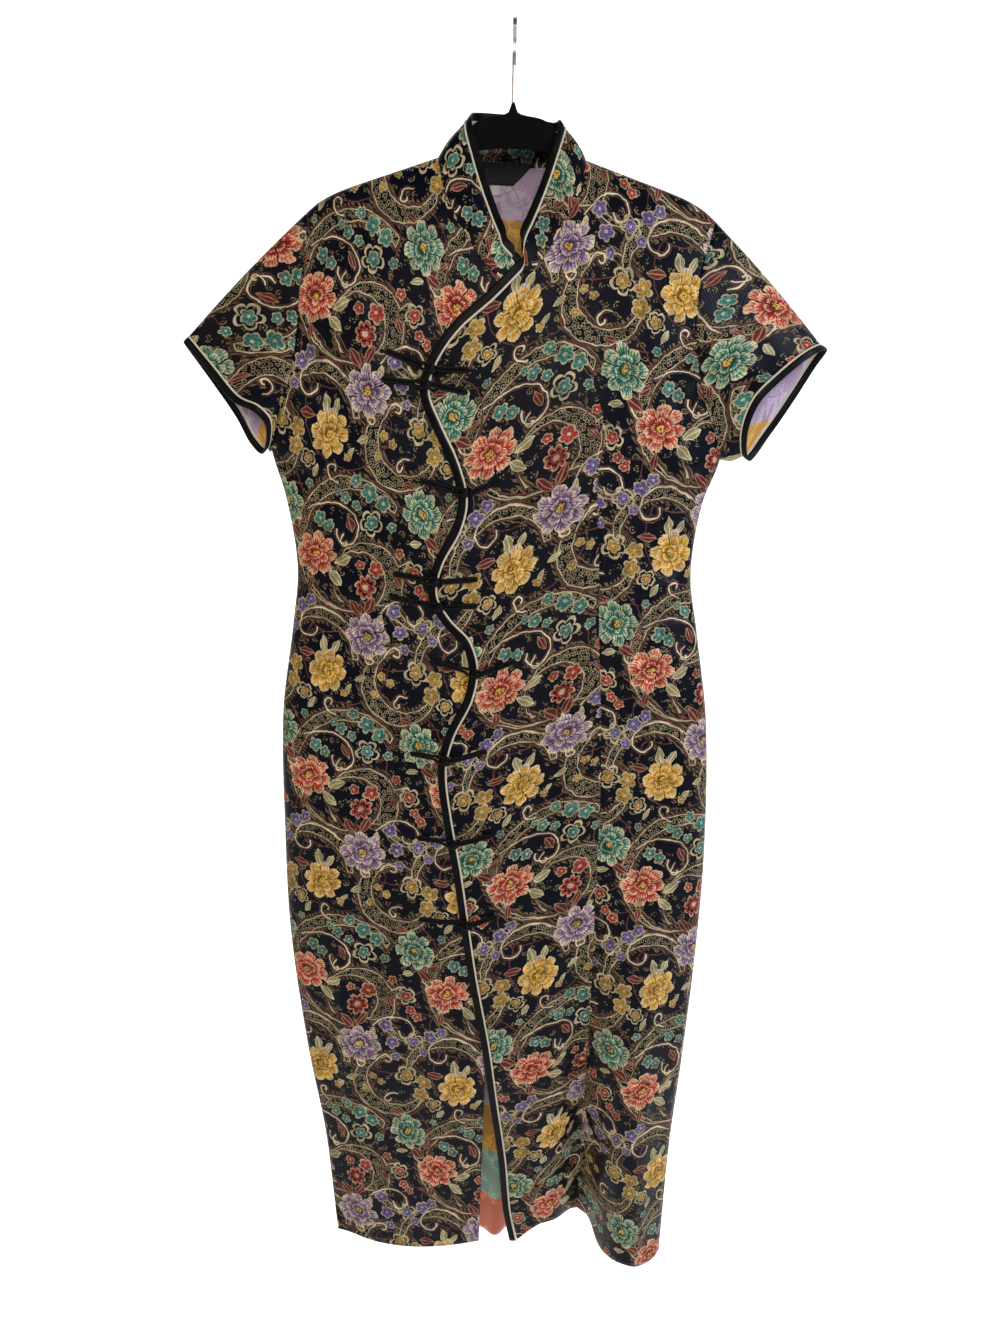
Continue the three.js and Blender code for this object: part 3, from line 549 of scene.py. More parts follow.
def linear(colour: str, alpha: float = 1.0) -> tuple[float, float, float, float]:
    """An sRGB hex colour as linear RGBA."""
    channels = [int(colour[k:k + 2], 16) / 255 for k in (1, 3, 5)]
    return (*(c / 12.92 if c <= 0.04045 else ((c + 0.055) / 1.055) ** 2.4 for c in channels), alpha)


def add_node(tree: Tree, kind: str, inputs: dict | tuple = (), out: int = 0,
        **settings: object) -> Socket:
    """Adds a node with its settings and links.

    Args:
        tree: The tree that gets the node.
        kind: The node's type, without its ShaderNode prefix.
        inputs: Values or output sockets, by input position or name; None leaves one as it is.
        out: Which of its outputs to return.
        settings: The node's properties.

    Returns:
        One of the node's outputs.
    """
    node = tree.nodes.new(kind if kind.startswith("NodeGroup") else "ShaderNode" + kind)
    stops = settings.pop("stops", None)
    for key, value in settings.items():
        setattr(node, key, value)
    if stops:
        ramp = node.color_ramp
        ramp.interpolation = "LINEAR" if len(stops[0]) < 3 else stops[0][2]
        while len(ramp.elements) < len(stops):
            ramp.elements.new(1.0)
        for element, stop in zip(ramp.elements, stops):
            element.position = stop[0]
            element.color = linear(stop[1]) if isinstance(stop[1], str) else stop[1]
    for key, value in (inputs.items() if isinstance(inputs, dict) else enumerate(inputs)):
        if isinstance(value, Socket):
            tree.links.new(value, node.inputs[key])
        elif value is not None:
            node.inputs[key].default_value = value
    return node.outputs[out] if len(node.outputs) else node


class Graph:
    """A node tree, with short ways to add the nodes that recur."""

    def __init__(self, tree: Tree) -> None:
        """Keeps the tree."""
        self.tree = tree

    def __call__(self, kind: str, inputs: dict | tuple = (), out: int = 0,
            **settings: object) -> Socket:
        """Adds any node."""
        return add_node(self.tree, kind, inputs, out, **settings)

    def number(self, operation: str, *inputs: object) -> Socket:
        """A number from numbers."""
        return self("Math", inputs, operation=operation)

    def vector(self, operation: str, *inputs: object) -> Socket:
        """A vector from vectors."""
        return self("VectorMath", inputs, operation=operation)

    def measure(self, operation: str, *inputs: object) -> Socket:
        """A number from vectors."""
        return self("VectorMath", inputs, 1, operation=operation)

    def scaled(self, colour: Socket, size: Socket) -> Socket:
        """A colour made lighter or darker."""
        return self("VectorMath", {0: colour, "Scale": size}, operation="SCALE")

    def blend(self, share: object, one: object, other: object) -> Socket:
        """The colour a share of the way from one to the other."""
        return self("Mix", {0: share, 6: one, 7: other}, 2, data_type="RGBA")

    def along(self, place: Socket, way: tuple) -> Socket:
        """How far a place lies in a direction."""
        return self.measure("DOT_PRODUCT", place, way)

    def distance(self, place: Socket) -> Socket:
        """How far a place lies from its origin."""
        return self.measure("LENGTH", place)

    def size(self, value: Socket) -> Socket:
        """A number without its sign."""
        return self.number("ABSOLUTE", value)

    def spread(self, value: Socket, low: float, high: float, start: float, end: float) -> Socket:
        """A value from low to high, spread over start to end and held there."""
        return self("MapRange", (value, low, high, start, end))

    def outputs(self, *inputs: object, group: Tree) -> list[Socket]:
        """All that a node group gives for its inputs."""
        self("Group", inputs, node_tree=group)
        return list(self.tree.nodes[-1].outputs)


def new_group(name: str, takes: dict, gives: dict) -> Tree:
    """An empty node group; its inputs and outputs are names with their kinds of socket."""
    tree = bpy.data.node_groups.new(name, "ShaderNodeTree")
    for way, sockets in (("INPUT", takes), ("OUTPUT", gives)):
        for label, kind in sockets.items():
            tree.interface.new_socket(label, in_out=way, socket_type="NodeSocket" + kind)
    return tree


def spaced(inputs: dict) -> dict:
    """Inputs by their names in Blender, which have a space for each _."""
    return {key.replace("_", " "): value for key, value in inputs.items()}


class MaterialGraph(Graph):
    """The tree of a new material, read along the piece's own flat coordinates."""

    def __init__(self, name: str) -> None:
        """Makes the material and empties its tree."""
        self.material = bpy.data.materials.new(name)
        self.material.use_nodes = True
        super().__init__(self.material.node_tree)
        self.tree.nodes.clear()

    def ribs(self, place: Socket, size: float, along: str = "Y", **inputs: float) -> Socket:
        """Even ribs, size millimetres apart along y or x."""
        return self("TexWave", {"Vector": place, "Scale": 2 * pi / (20 * size), **spaced(inputs)},
            1, bands_direction=along)

    def surface(self, colour: Socket, roughness: object, relief: tuple, **more: object) -> Material:
        """Ends the material.

        Args:
            colour: Its base colour.
            roughness: Its roughness.
            relief: The bump's strength, its depth in metres and its height.
            more: Other inputs of the principled shader, with _ for each space.

        Returns:
            The finished material.
        """
        raised = self("Bump", dict(zip(("Strength", "Distance", "Height"), relief)))
        bsdf = self("BsdfPrincipled", {"Base Color": colour, "Roughness": roughness,
            "Normal": raised, **spaced(more)})
        self("OutputMaterial", (bsdf,))
        return self.material


@dataclass(frozen=True)
class Motif:
    """One figure of the repeat: its place and half size in millimetres, its turn in degrees."""

    x: float
    y: float
    size: float
    turn: float = 0
    kind: int = 0


@dataclass(frozen=True)
class Scroll:
    """A paisley crescent filled with filigree: its outer circle, its thick side and thickness."""

    x: float
    y: float
    radius: float
    side: float
    thick: float
    cut: tuple | None = None     # nothing of it shows beyond this distance along this direction


@dataclass(frozen=True)
class BrocadeRepeat:
    """The repeat of the brocade, figures floated in coloured weft over a warp satin ground.

    The coloured wefts change in bands up the cloth, so a figure's colour follows its height. All
    figures are traditional: peonies, small five-petalled flowers, leaves, scrolls and paisleys.
    """

    width: float = 166
    height: float = 246
    peonies: tuple = ((0, 0, 26, 15, 0), (-39, 50, 25, 120, 1), (18, -124, 25, 60, 2), (65, -82, 27,
        -20, 3))
    # Kind 0 is a flower of solid weft, 1 one with a hollow outlined star round it, 2 one of eight
    # petals with open holes between them.
    flowers: tuple = ((62, -30, 13, 8, 2), (74, -11, 10, 20), (54, -8, 6), (-48, -10, 12, 10, 1),
        (-42, -28, 6, 30), (-34, -36, 6, 5), (-5, -50, 7, 12), (-17, -58, 9, 33), (-36, -68, 12, 4,
        1), (-25, -80, 6, 50), (-62, -74, 9, 22), (-70, -52, 9, 8), (-57, -92, 6, 40), (-43, -116,
        14, 16, 1), (-22, -121, 10, 3), (-25, 107, 10, 28), (-9, 96, 10, 10, 1), (83, -123, 5),
        (-73, 116, 5, 30), (75, 103, 5), (68, 37, 14, 18, 1), (67, 67, 10, 7), (82, 57, 9, 25),
        (51, 78, 7, 12), (37, 60, 7, 30), (28, 66, 5), (50, 53, 6, 20), (7, 37, 8, 14), (18, 31, 7,
        40), (-64, 8, 6, 20), (-74, 34, 6), (-8, 70, 5, 10), (40, 100, 5, 35))
    # Kind 0 is a cream leaf and 1 a brown one.
    leaves: tuple = ((33, -5, 12, 25, 0), (25, -23, 12, -40, 0), (14, -97, 12, 100, 0), (27, -98, 9,
        60, 0), (44, -141, 7, 50, 0), (-46, 20, 8, 10, 0), (-6, -32, 9, -100, 1), (50, -52, 12, 130,
        1), (67, -49, 12, 60, 1), (-9, -107, 11, 175, 1), (-27, 21, 12, -40, 1), (43, 34, 10, -65,
        1), (-18, 34, 8, 30, 1), (80, -64, 8, 80, 0), (-66, -20, 8, 120, 1), (0, 84, 8, 60, 0),
        (-54, 76, 8, 160, 1), (58, 118, 8, 20, 0))
    scrolls: tuple = ((65, -24, 41, 0, 22, (-90, 24)), (5, -105, 50, 90, 14, (-90, 4)), (-63, 113,
        43, 225, 19), (44, 12, 70, 122, 14, (-20, 36)), (-44, -34, 36, 150, 13, (30, 8)))
    # Hooks: their middle, outer radius, where they start and whether they turn clockwise.
    hooks: tuple = ((-6, -80, 45, 13, 1), (38, 24, 52, 156, -1), (-47, -56, 39, 180, -1), (-64, 93,
        14, 40, 1), (-66, -98, 15, 200, -1), (37, 13, 11, 90, 1), (22, 88, 16, -60, -1), (-20, 12,
        12, 150, 1), (70, -108, 14, 100, 1))
    # Stems: the circle that each is part of, and the direction in which it ends.
    stems: tuple = ((140, 20, 50, 180, 40), (20, -44, 38, 250, 24), (96, -70, 46, 200, 34),
        (-62, 40, 52, -30, 40), (40, 140, 52, 250, 36))
    # One row for each band from the bottom of the repeat: where it ends, then the peonies' weft,
    # the small flowers' weft and the pale weft of the reverse.
    bands: tuple = ((-104, "#e2a522", "#bd9344", "#ffc85a"), (-45, "#8a6a96", "#7766a2", "#e4d2ec"),
        (26, "#cf4432", "#b9453c", "#ff9363"), (84, "#2a806c", "#4a887c", "#aee4c2"),
        (123, "#e2a522", "#bd9344", "#ffc85a"))
    cream: str = "#cbbd94"
    gold: str = "#a99b72"
    bright: str = "#e6dab4"
    brown: str = "#6e443c"
    ground: str = "#070a18"

    def copies(self, motif: Motif) -> list[Motif]:
        """The motif, and its copies over the repeat's edges where it crosses them."""
        found = [replace(motif, x=motif.x + i * self.width, y=motif.y + j * self.height)
            for i in (-1, 0, 1) for j in (-1, 0, 1)]
        return [m for m in found if abs(m.x) < self.width / 2 + m.size
            and abs(m.y) < self.height / 2 + m.size]


def petal_ring() -> Tree:
    """A group that measures a ring of petals: 1 on their rim, and how near the gap between two."""
    tree = new_group("petal_ring", {"Place": "Vector", "Count": "Float", "Notch": "Float",
        "Turn": "Float"}, {"Rim": "Float", "Gap": "Float"})
    node = Graph(tree)
    number = node.number
    node("NodeGroupInput")
    place, count, notch, turn = list(tree.nodes[0].outputs)[:4]
    x, y = node.along(place, (1, 0, 0)), node.along(place, (0, 1, 0))
    turned = number("MULTIPLY", number("ARCTAN2", y, x), count)
    share = number("MULTIPLY_ADD", turned, 1 / (2 * pi), turn)
    off = number("SUBTRACT", number("FRACT", share), 0.5)
    gap = number("MULTIPLY", node.size(off), 2.0)
    notched = number("MULTIPLY", number("POWER", gap, 2.4), notch)
    radius = number("SUBTRACT", 1.0, notched)
    node("NodeGroupOutput", (number("DIVIDE", node.distance(place), radius), gap))
    return tree


class Loom(Graph):
    """The repeat's node group while it is drawn, one layer of figures over another."""

    def __init__(self, repeat: BrocadeRepeat) -> None:
        """Makes the group, with the wefts' bands and the noises that its figures share."""
        super().__init__(new_group("brocade_repeat", {"Place": "Vector"}, {"Colour": "Color",
            "Figure": "Float", "Band": "Color"}))
        self.repeat, self.ring = repeat, petal_ring()
        self.half = (repeat.width / 2, repeat.height / 2, 1.0)
        place = self("NodeGroupInput")
        # A drawn line wanders by a millimetre or so.
        self.drawn = self.vector("MULTIPLY_ADD", self.wander(place, 0.09, 1.0), (5.0, 5.0, 0.0),
            place)
        self.ruffle = self.wander(place, 0.16, 2.0)
        self.cell = self.nearest_copy(self.drawn)
        self.fine = self("TexNoise", {"Vector": self.drawn, "Scale": 0.55, "Detail": 1.5})
        up = self.number("MULTIPLY_ADD", self.along(self.cell, (0, 1, 0)), 1 / repeat.height, 0.5)
        tops = [0.0] + [row[0] / repeat.height + 0.5 for row in repeat.bands[:-1]]
        self.weft, self.small, self.pale = (self.ramp(up, *((top, row[k], "CONSTANT")
            for top, row in zip(tops, repeat.bands))) for k in (1, 2, 3))
        self.colour, self.figure = self.ground()

    def wander(self, place: Socket, scale: float, detail: float) -> Socket:
        """A noise of vectors about zero."""
        noise = self("TexNoise", {"Vector": place, "Scale": scale, "Detail": detail}, out=1)
        return self.vector("SUBTRACT", noise, (0.5, 0.5, 0.5))

    def nearest_copy(self, place: Socket) -> Socket:
        """The place inside the repeat."""
        return self.vector("WRAP", place, self.half, tuple(-v for v in self.half))

    def beside(self, x: float, y: float) -> Socket:
        """The place from the middle of the nearest copy of a figure."""
        return self.nearest_copy(self.vector("SUBTRACT", self.cell, (x, y, 0.0)))

    def cells(self, scale: float, spread: float) -> Socket:
        """The distance to the nearest of some scattered points."""
        self("TexVoronoi", {"Vector": self.drawn, "Scale": scale, "Randomness": spread},
            voronoi_dimensions="2D")
        return self.tree.nodes[-1].outputs[0]

    def ramp(self, value: Socket, *stops: tuple) -> Socket:
        """A colour for each step of a value."""
        return self("ValToRGB", (value,), stops=stops)

    def cover(self, mask: Socket, tone: object) -> None:
        """Lays one weft, a colour or its hex name, over what is there."""
        tone = linear(tone) if isinstance(tone, str) else tone
        self.colour = self.blend(mask, self.colour, tone)
        self.figure = self.number("MAXIMUM", self.figure, mask)

    def within(self, motifs: tuple) -> tuple[Socket, Socket]:
        """The place inside whichever figure covers this point, 1 at its edge, and its kind.

        A figure's kind and turn travel in the thousandths of z, so that one turn at the end
        serves them all. The chain uses vector nodes alone, which Cycles can run in order.
        """
        best = (9.0, 9.0, 0.0)
        for m in [c for row in motifs for c in self.repeat.copies(Motif(*row))]:
            code = (m.kind + (m.turn % 360) / 400) / 100
            here = self.vector("MULTIPLY_ADD", self.cell, (1 / m.size, 1 / m.size, 0),
                (-m.x / m.size, -m.y / m.size, code))
            inside = self.number("LESS_THAN", self.distance(here), 1.0)
            best = self("Mix", {0: inside, 4: best, 5: here}, out=1, data_type="VECTOR")
        code = self.along(best, (0, 0, 100))
        turn = self.number("MULTIPLY", self.number("FRACT", code), -radians(400))
        turned = self("VectorRotate", {"Vector": best, "Angle": turn}, rotation_type="Z_AXIS")
        return turned, self.number("FLOOR", code)

    def ground(self) -> tuple[Socket, Socket]:
        """The satin ground, with small curls and berries that fill it between the figures."""
        near = self.cells(0.085, 1.0)
        curl = self.number("COMPARE", near, 0.25, 0.055)
        half_shown = self.number("GREATER_THAN", self.along(self.ruffle, (1, 0.4, 0)), 0.045)
        curl = self.number("MULTIPLY", curl, half_shown)
        sprig = self.number("MAXIMUM", curl, self.number("LESS_THAN", near, 0.07))
        return self.blend(sprig, linear(self.repeat.ground), linear("#8a7c5a")), sprig

    def crescents(self) -> None:
        """Paisleys, from the distance outside the nearest, which is negative inside."""
        number, edge = self.number, 99.0
        for s in (Scroll(*row) for row in self.repeat.scrolls):
            here, side = self.beside(s.x, s.y), radians(s.side)
            outer = number("SUBTRACT", self.distance(here), s.radius)
            shift = (s.thick / 2 * cos(side), s.thick / 2 * sin(side), 0.0)
            near = self.distance(self.vector("ADD", here, shift))
            inner = number("SUBTRACT", s.radius - s.thick / 2, near)
            shape = number("MAXIMUM", outer, inner)
            if s.cut:
                cut = radians(s.cut[0])
                past = self.along(here, (cos(cut), sin(cut), 0.0))
                shape = number("MAXIMUM", shape, number("SUBTRACT", past, s.cut[1]))
            edge = number("MINIMUM", edge, shape)
        inside = number("LESS_THAN", edge, -1.4)
        # Filigree: small curls, drawn a little coarser than the 1 mm curls of the cloth.
        curls = number("COMPARE", self.cells(0.25, 0.9), 0.36, 0.085)
        self.cover(inside, self.repeat.ground)
        self.cover(number("MULTIPLY", curls, inside), self.repeat.gold)
        self.cover(number("COMPARE", edge, -0.6, 0.65), self.repeat.cream)
        self.cover(number("COMPARE", edge, 1.5, 0.6), self.repeat.brown)
        # The comb of short floats along the outside of the crescents.
        teeth = self("TexWave", {"Vector": self.drawn, "Scale": 0.105, "Distortion": 3.0,
            "Detail": 0.0}, out=1, wave_type="BANDS", bands_direction="DIAGONAL")
        fringe = number("COMPARE", edge, 3.9, 1.3)
        self.cover(number("MULTIPLY", number("GREATER_THAN", teeth, 0.62), fringe), "#7c6e4c")

    def stems(self) -> None:
        """Thin arcs, from the distance to the nearest."""
        number, line = self.number, 99.0
        for x, y, radius, way, reach in self.repeat.stems:
            here, a = self.beside(x, y), radians(way)
            off = self.size(number("SUBTRACT", self.distance(here), radius))
            past = self.along(here, (-cos(a), -sin(a), 0.0))
            shown = number("MAXIMUM", off, number("ADD", past, reach - radius))
            line = number("MINIMUM", line, shown)
        self.cover(number("LESS_THAN", line, 0.6), self.repeat.brown)

    def hooks(self) -> None:
        """Spirals that tighten as they turn, from the distance to the nearest."""
        number, line = self.number, 99.0
        for x, y, radius, start, way in self.repeat.hooks:
            here, a = self.beside(x, y), radians(start + 180)
            ahead = self.along(here, (cos(a), sin(a), 0))
            aside = self.along(here, (-way * sin(a), way * cos(a), 0))
            angle = number("ARCTAN2", aside, ahead)
            decay = number("EXPONENT", number("MULTIPLY_ADD", angle, -0.9, -0.9 * pi))
            reach = number("MULTIPLY_ADD", decay, 0.8 * radius, 0.2 * radius)
            off = self.size(number("SUBTRACT", self.distance(here), reach))
            line = number("MINIMUM", line, off)
        self.cover(number("LESS_THAN", line, 0.85), self.repeat.bright)
        self.cover(number("COMPARE", line, 2.4, 0.45), self.repeat.brown)

    def leaves(self) -> None:
        """Leaves, pointed at both ends, with a midrib."""
        number = self.number
        leaf, kind = self.within(self.repeat.leaves)
        x, side = self.along(leaf, (1, 0, 0)), self.size(self.along(leaf, (0, 2, 0)))
        blade = number("ADD", side, number("MULTIPLY", x, x))
        toothed = number("MULTIPLY_ADD", self.fine, 0.35, blade)
        rim, rib = number("GREATER_THAN", toothed, 0.88), number("LESS_THAN", side, 0.1)
        marked = number("MAXIMUM", rim, rib)
        brown = number("GREATER_THAN", kind, 0.5)
        body = self.blend(brown, linear("#a99c6c"), linear("#6a2c28"))
        veins = self.blend(brown, linear("#e2d8b0"), linear("#b08468"))
        self.cover(number("LESS_THAN", toothed, 1.05), self.blend(marked, body, veins))

    def flowers(self) -> None:
        """Small flowers: red in a ramp stands for the band's weft and green for cream."""
        near, kind = self.within(self.repeat.flowers)
        eight = self.number("GREATER_THAN", kind, 1.5)
        hollow = self.number("COMPARE", kind, 1.0, 0.4)
        count = self.number("MULTIPLY_ADD", eight, 3.0, 5.0)
        rim, _ = self.outputs(near, count, 0.36, 0.0, group=self.ring)
        red, green, none = (1, 0, 0, 1), (0, 1, 0, 1), (0, 0, 0, 1)
        middle, outside = (0, green, "CONSTANT"), (0.999, none)
        solid = self.ramp(rim, middle, (0.2, red), (0.8, (1, 0.85, 0, 1)), outside)
        star = self.ramp(rim, middle, (0.12, red), (0.46, (1, 0.8, 0, 1)), (0.56, none),
            (0.8, green), outside)
        wheel = self.ramp(rim, middle, (0.26, red), (0.48, none), (0.66, red),
            (0.86, (1, 0.75, 0, 1)), outside)
        self("SeparateColor", (self.blend(eight, self.blend(hollow, solid, star), wheel),))
        woven, pearl = self.tree.nodes[-1].outputs[:2]
        floats = self.spread(self.fine, 0.36, 0.6, 0.35, 1.25)
        tone = self.blend(pearl, self.scaled(self.small, floats), linear(self.repeat.cream))
        self.cover(self.number("MAXIMUM", woven, pearl), tone)

    def peonies(self) -> None:
        """Peonies: three rings of ruffled petals, each over the one outside it."""
        number, blend = self.number, self.blend
        near, _ = self.within(self.repeat.peonies)
        near = self.vector("MULTIPLY", near, (1.0, 1.12, 1.0))
        bloom = self.vector("MULTIPLY_ADD", self.ruffle, (0.26, 0.26, 0.0), near)
        rings = []
        for count, size, turn, shift in ((8.0, 1.0, 0.0, 0.0), (6.0, 0.68, 0.3, 0.08),
                (4.0, 0.38, 0.6, 0.14)):
            ringed = self.vector("MULTIPLY_ADD", bloom, (1 / size, 1 / size, 0), (0, -shift, 0))
            rings.append(self.outputs(ringed, count, 0.26, turn, group=self.ring))
        rim, gap = rings[0]
        for inner in rings[1:]:
            over = number("LESS_THAN", inner[0], 1.0)
            rim, gap = (self("Mix", {0: over, 2: old, 3: new}, data_type="FLOAT")
                for old, new in zip((rim, gap), inner))
        # Fine floats run from each rim towards the heart: light at the rim, deep in the folds.
        comb = self.size(number("SUBTRACT", number("FRACT", number("MULTIPLY", gap, 2.6)), 0.5))
        lit = number("MULTIPLY_ADD", comb, 0.5, number("MULTIPLY_ADD", self.fine, 0.5, rim))
        lit = number("MULTIPLY_ADD", number("GREATER_THAN", gap, 0.88), -0.3, lit)
        dark = blend(0.9, self.weft, linear("#1c0a0e"))
        bright = blend(0.78, self.weft, linear("#f6e6b8"))
        petal = blend(self.spread(lit, 0.82, 1.14, 0.05, 1.0), dark, self.weft)
        petal = blend(self.spread(lit, 1.12, 1.38, 0.0, 1.0), petal, bright)
        heart = number("LESS_THAN", self.distance(bloom), 0.16)
        speckled = self.spread(self.fine, 0.44, 0.5, 0.0, 1.0)
        petal = blend(heart, petal, blend(speckled, linear("#7c3426"), linear("#e6c45c")))
        self.cover(number("LESS_THAN", rings[0][0], 1.0), petal)

    def weave(self) -> Tree:
        """Draws every layer and gives the group: Place in; Colour, Figure and Band out."""
        for layer in (self.crescents, self.stems, self.hooks, self.leaves, self.flowers,
                self.peonies):
            layer()
        self("NodeGroupOutput", (self.colour, self.figure, self.pale))
        return self.tree


@dataclass(frozen=True)
class BrocadeCloth:
    """Silk brocade: warp satin with figures in floated weft.

    The satin ground gives a soft sheen and the floats stand a little proud and duller. The weft
    ribs are 0.4 mm on the cloth and are drawn at 1.7 mm, so that they show.
    """

    repeat: BrocadeRepeat = BrocadeRepeat()
    rib: float = 1.7
    # The size of the noise that gives the slub tone and the painted glint.
    slub: float = 14.0

    def face(self, drawn: Tree) -> Material:
        """The right side, with all its wefts."""
        node = MaterialGraph("silk_brocade_face")
        uv = node("UVMap", uv_map="cloth")
        colour, figure, _ = node.outputs(uv, group=drawn)
        ribs = node.ribs(uv, self.rib, Distortion=1.2, Detail=1.0, Detail_Scale=2.0)
        # Partly the yarn's uneven slub tone, partly a painted glint on the metallic floats: this
        # noise lightens and darkens the colour.
        slubs_and_glint = node("TexNoise", {"Vector": uv, "Scale": 1 / self.slub, "Detail": 3.0})
        shade = node.spread(slubs_and_glint, 0.36, 0.64, 0.55, 1.1)
        shade = node.number("MULTIPLY_ADD", ribs, 0.22, shade)
        rough = node.spread(figure, 0.0, 1.0, 0.36, 0.6)
        return node.surface(node.scaled(colour, shade), rough, (0.35, 0.0004, ribs),
            Specular_IOR_Level=0.13, Sheen_Weight=0.015, Sheen_Roughness=0.3,
            Sheen_Tint=linear("#aab4cc"))

    def reverse(self, drawn: Tree) -> Material:
        """The wrong side, where the wefts lie loose: pale bands with the figures in shadow."""
        node = MaterialGraph("silk_brocade_reverse")
        uv = node("UVMap", uv_map="cloth")
        _, figure, pale = node.outputs(uv, group=drawn)
        long = node.vector("MULTIPLY", uv, (0.08, 0.9, 0.0))
        floats = node("TexNoise", {"Vector": long, "Scale": 1.0, "Detail": 2.0})
        deep = node.vector("MULTIPLY", pale, (0.45, 0.33, 0.5))
        colour = node.blend(node.number("MULTIPLY", figure, 0.55), pale, deep)
        shade = node.spread(floats, 0.3, 0.7, 0.86, 1.08)
        return node.surface(node.scaled(colour, shade), 0.62, (0.4, 0.0004, floats),
            Sheen_Weight=0.25)


@dataclass(frozen=True)
class SatinFinish:
    """Polyester satin, cut on the bias or twisted into cord.

    It gives long soft highlights. The 0.3 mm twill lines are drawn at 1.2 mm so that they show.
    """

    name: str
    colour: str
    shadow: str
    roughness: float = 0.36
    lines: float = 1.2
    sheen: float = 0.02

    def build(self) -> Material:
        """Makes the material; its lines follow the piece's own flat coordinates."""
        node = MaterialGraph(self.name)
        uv = node("UVMap", uv_map="cloth")
        turned = node("Mapping", {"Vector": uv, "Rotation": (0, 0, radians(52))})
        lines = node.ribs(turned, self.lines, "X", Distortion=0.8, Detail=1.0)
        cloudy = node("TexNoise", {"Vector": uv, "Scale": 0.09, "Detail": 3.0})
        share = node.number("MULTIPLY_ADD", lines, 0.45, 0.1)
        share = node.number("MULTIPLY_ADD", cloudy, 0.5, share)
        colour = node.blend(share, linear(self.shadow), linear(self.colour))
        rough = node.spread(cloudy, 0.3, 0.7, self.roughness - 0.06, self.roughness + 0.1)
        return node.surface(colour, rough, (0.3, 0.0003, lines), Sheen_Weight=self.sheen,
            Sheen_Roughness=0.4, Specular_IOR_Level=0.15)


@dataclass(frozen=True)
class WovenTape:
    """Plain woven label tape: flat and matt, with a rib across it, 0.35 mm drawn at 0.9 mm."""

    name: str
    colour: str
    shadow: str

    def build(self) -> Material:
        """Makes the material."""
        node = MaterialGraph(self.name)
        uv = node("UVMap", uv_map="cloth")
        ribs = node.ribs(uv, 0.9, Distortion=0.5)
        threads = node.ribs(uv, 0.7, "X", Distortion=0.5)
        weave = node.number("MULTIPLY", ribs, threads)
        colour = node.blend(weave, linear(self.shadow), linear(self.colour))
        return node.surface(colour, 0.7, (0.3, 0.0003, weave), Sheen_Weight=0.1)


@dataclass(frozen=True)
class FlockedVelvet:
    """Black nylon flock on ABS: it swallows light face on and shows a grey edge at a slant.

    The pile is 0.4 mm and its clumps are drawn at 1.5 mm.
    """

    clump: float = 1.5

    def build(self) -> Material:
        """Makes the material."""
        node = MaterialGraph("flocked_velvet")
        place = node("TexCoord", out=3)
        pile = node("TexNoise", {"Vector": place, "Scale": 1000 / self.clump, "Detail": 3.0})
        worn = node("TexNoise", {"Vector": place, "Scale": 26.0, "Detail": 2.0})
        share = node.number("MULTIPLY", pile, worn)
        colour = node("ValToRGB", (share,), stops=[(0.1, "#030303"), (0.34, "#0a0a0b"),
            (0.5, "#141416")])
        return node.surface(colour, 0.95, (0.5, 0.0004, pile), Specular_IOR_Level=0.15,
            Sheen_Weight=0.7, Sheen_Roughness=0.45, Sheen_Tint=linear("#5a5a60"))


@dataclass(frozen=True)
class DrawnSteel:
    """Chromed steel wire: bright, with faint draw lines along it and a few dull rubs."""

    colour: str = "#f0ece8"

    def build(self) -> Material:
        """Makes the material."""
        node = MaterialGraph("chromed_steel_wire")
        place = node("TexCoord", out=3)
        drawn = node("Mapping", {"Vector": place, "Scale": (2600, 2600, 60)})
        lines = node("TexNoise", {"Vector": drawn, "Scale": 1.0, "Detail": 1.0})
        rubs = node("TexNoise", {"Vector": place, "Scale": 130.0, "Detail": 3.0})
        colour = node("ValToRGB", (rubs,), stops=[(0.35, "#c9c6c2"), (0.55, self.colour)])
        rough = node.spread(rubs, 0.35, 0.7, 0.34, 0.5)
        return node.surface(colour, rough, (0.12, 0.0001, lines), Metallic=1.0)


@dataclass(frozen=True)
class PaintedBackdrop:
    """Matt white studio paper, lit to read as white behind the dress and dimmer in front of it."""

    glow: float = 0.95
    dim: float = 0.16

    def build(self) -> Material:
        """Makes the material, with a paper grain of 3 mm."""
        node = MaterialGraph("white_studio_paper")
        place = node("TexCoord", out=3)
        grain = node("TexNoise", {"Vector": place, "Scale": 330.0, "Detail": 2.0})
        colour = node("ValToRGB", (grain,), stops=[(0.3, "#d9d9d9"), (0.7, "#e2e2e2")])
        behind = node.along(place, (0, 1, 0))
        glow = node.spread(behind, -0.3, 0.3, self.dim, self.glow)
        bsdf = node("BsdfPrincipled", {"Base Color": colour, "Roughness": 0.9,
            "Specular IOR Level": 0.1, "Emission Color": (1, 1, 1, 1), "Emission Strength": glow})
        node("OutputMaterial", (bsdf,))
        return node.material


class Finishes:
    """All the materials of the dress, made once."""

    def __init__(self) -> None:
        """Builds every finish."""
        brocade = BrocadeCloth()
        drawn = Loom(brocade.repeat).weave()
        self.face = brocade.face(drawn)
        self.reverse = brocade.reverse(drawn)
        self.binding = SatinFinish("black_bias_satin", "#0c0c10", "#040405", 0.34).build()
        self.cord = SatinFinish("black_satin_cord", "#0e0e12", "#040405", 0.3, 1.0).build()
        self.piping = SatinFinish("cream_satin_piping", "#f6efdc", "#d8caa4", 0.42, 1.4).build()
        self.label = WovenTape("black_label_tape", "#16171c", "#08080a").build()
        self.tag = WovenTape("white_label_tape", "#ffffff", "#e8e7e4").build()
        self.velvet = FlockedVelvet().build()
        self.steel = DrawnSteel().build()
        self.paper = PaintedBackdrop().build()
        LOG.info("finishes: %d materials", len(bpy.data.materials))


# ---- body panels


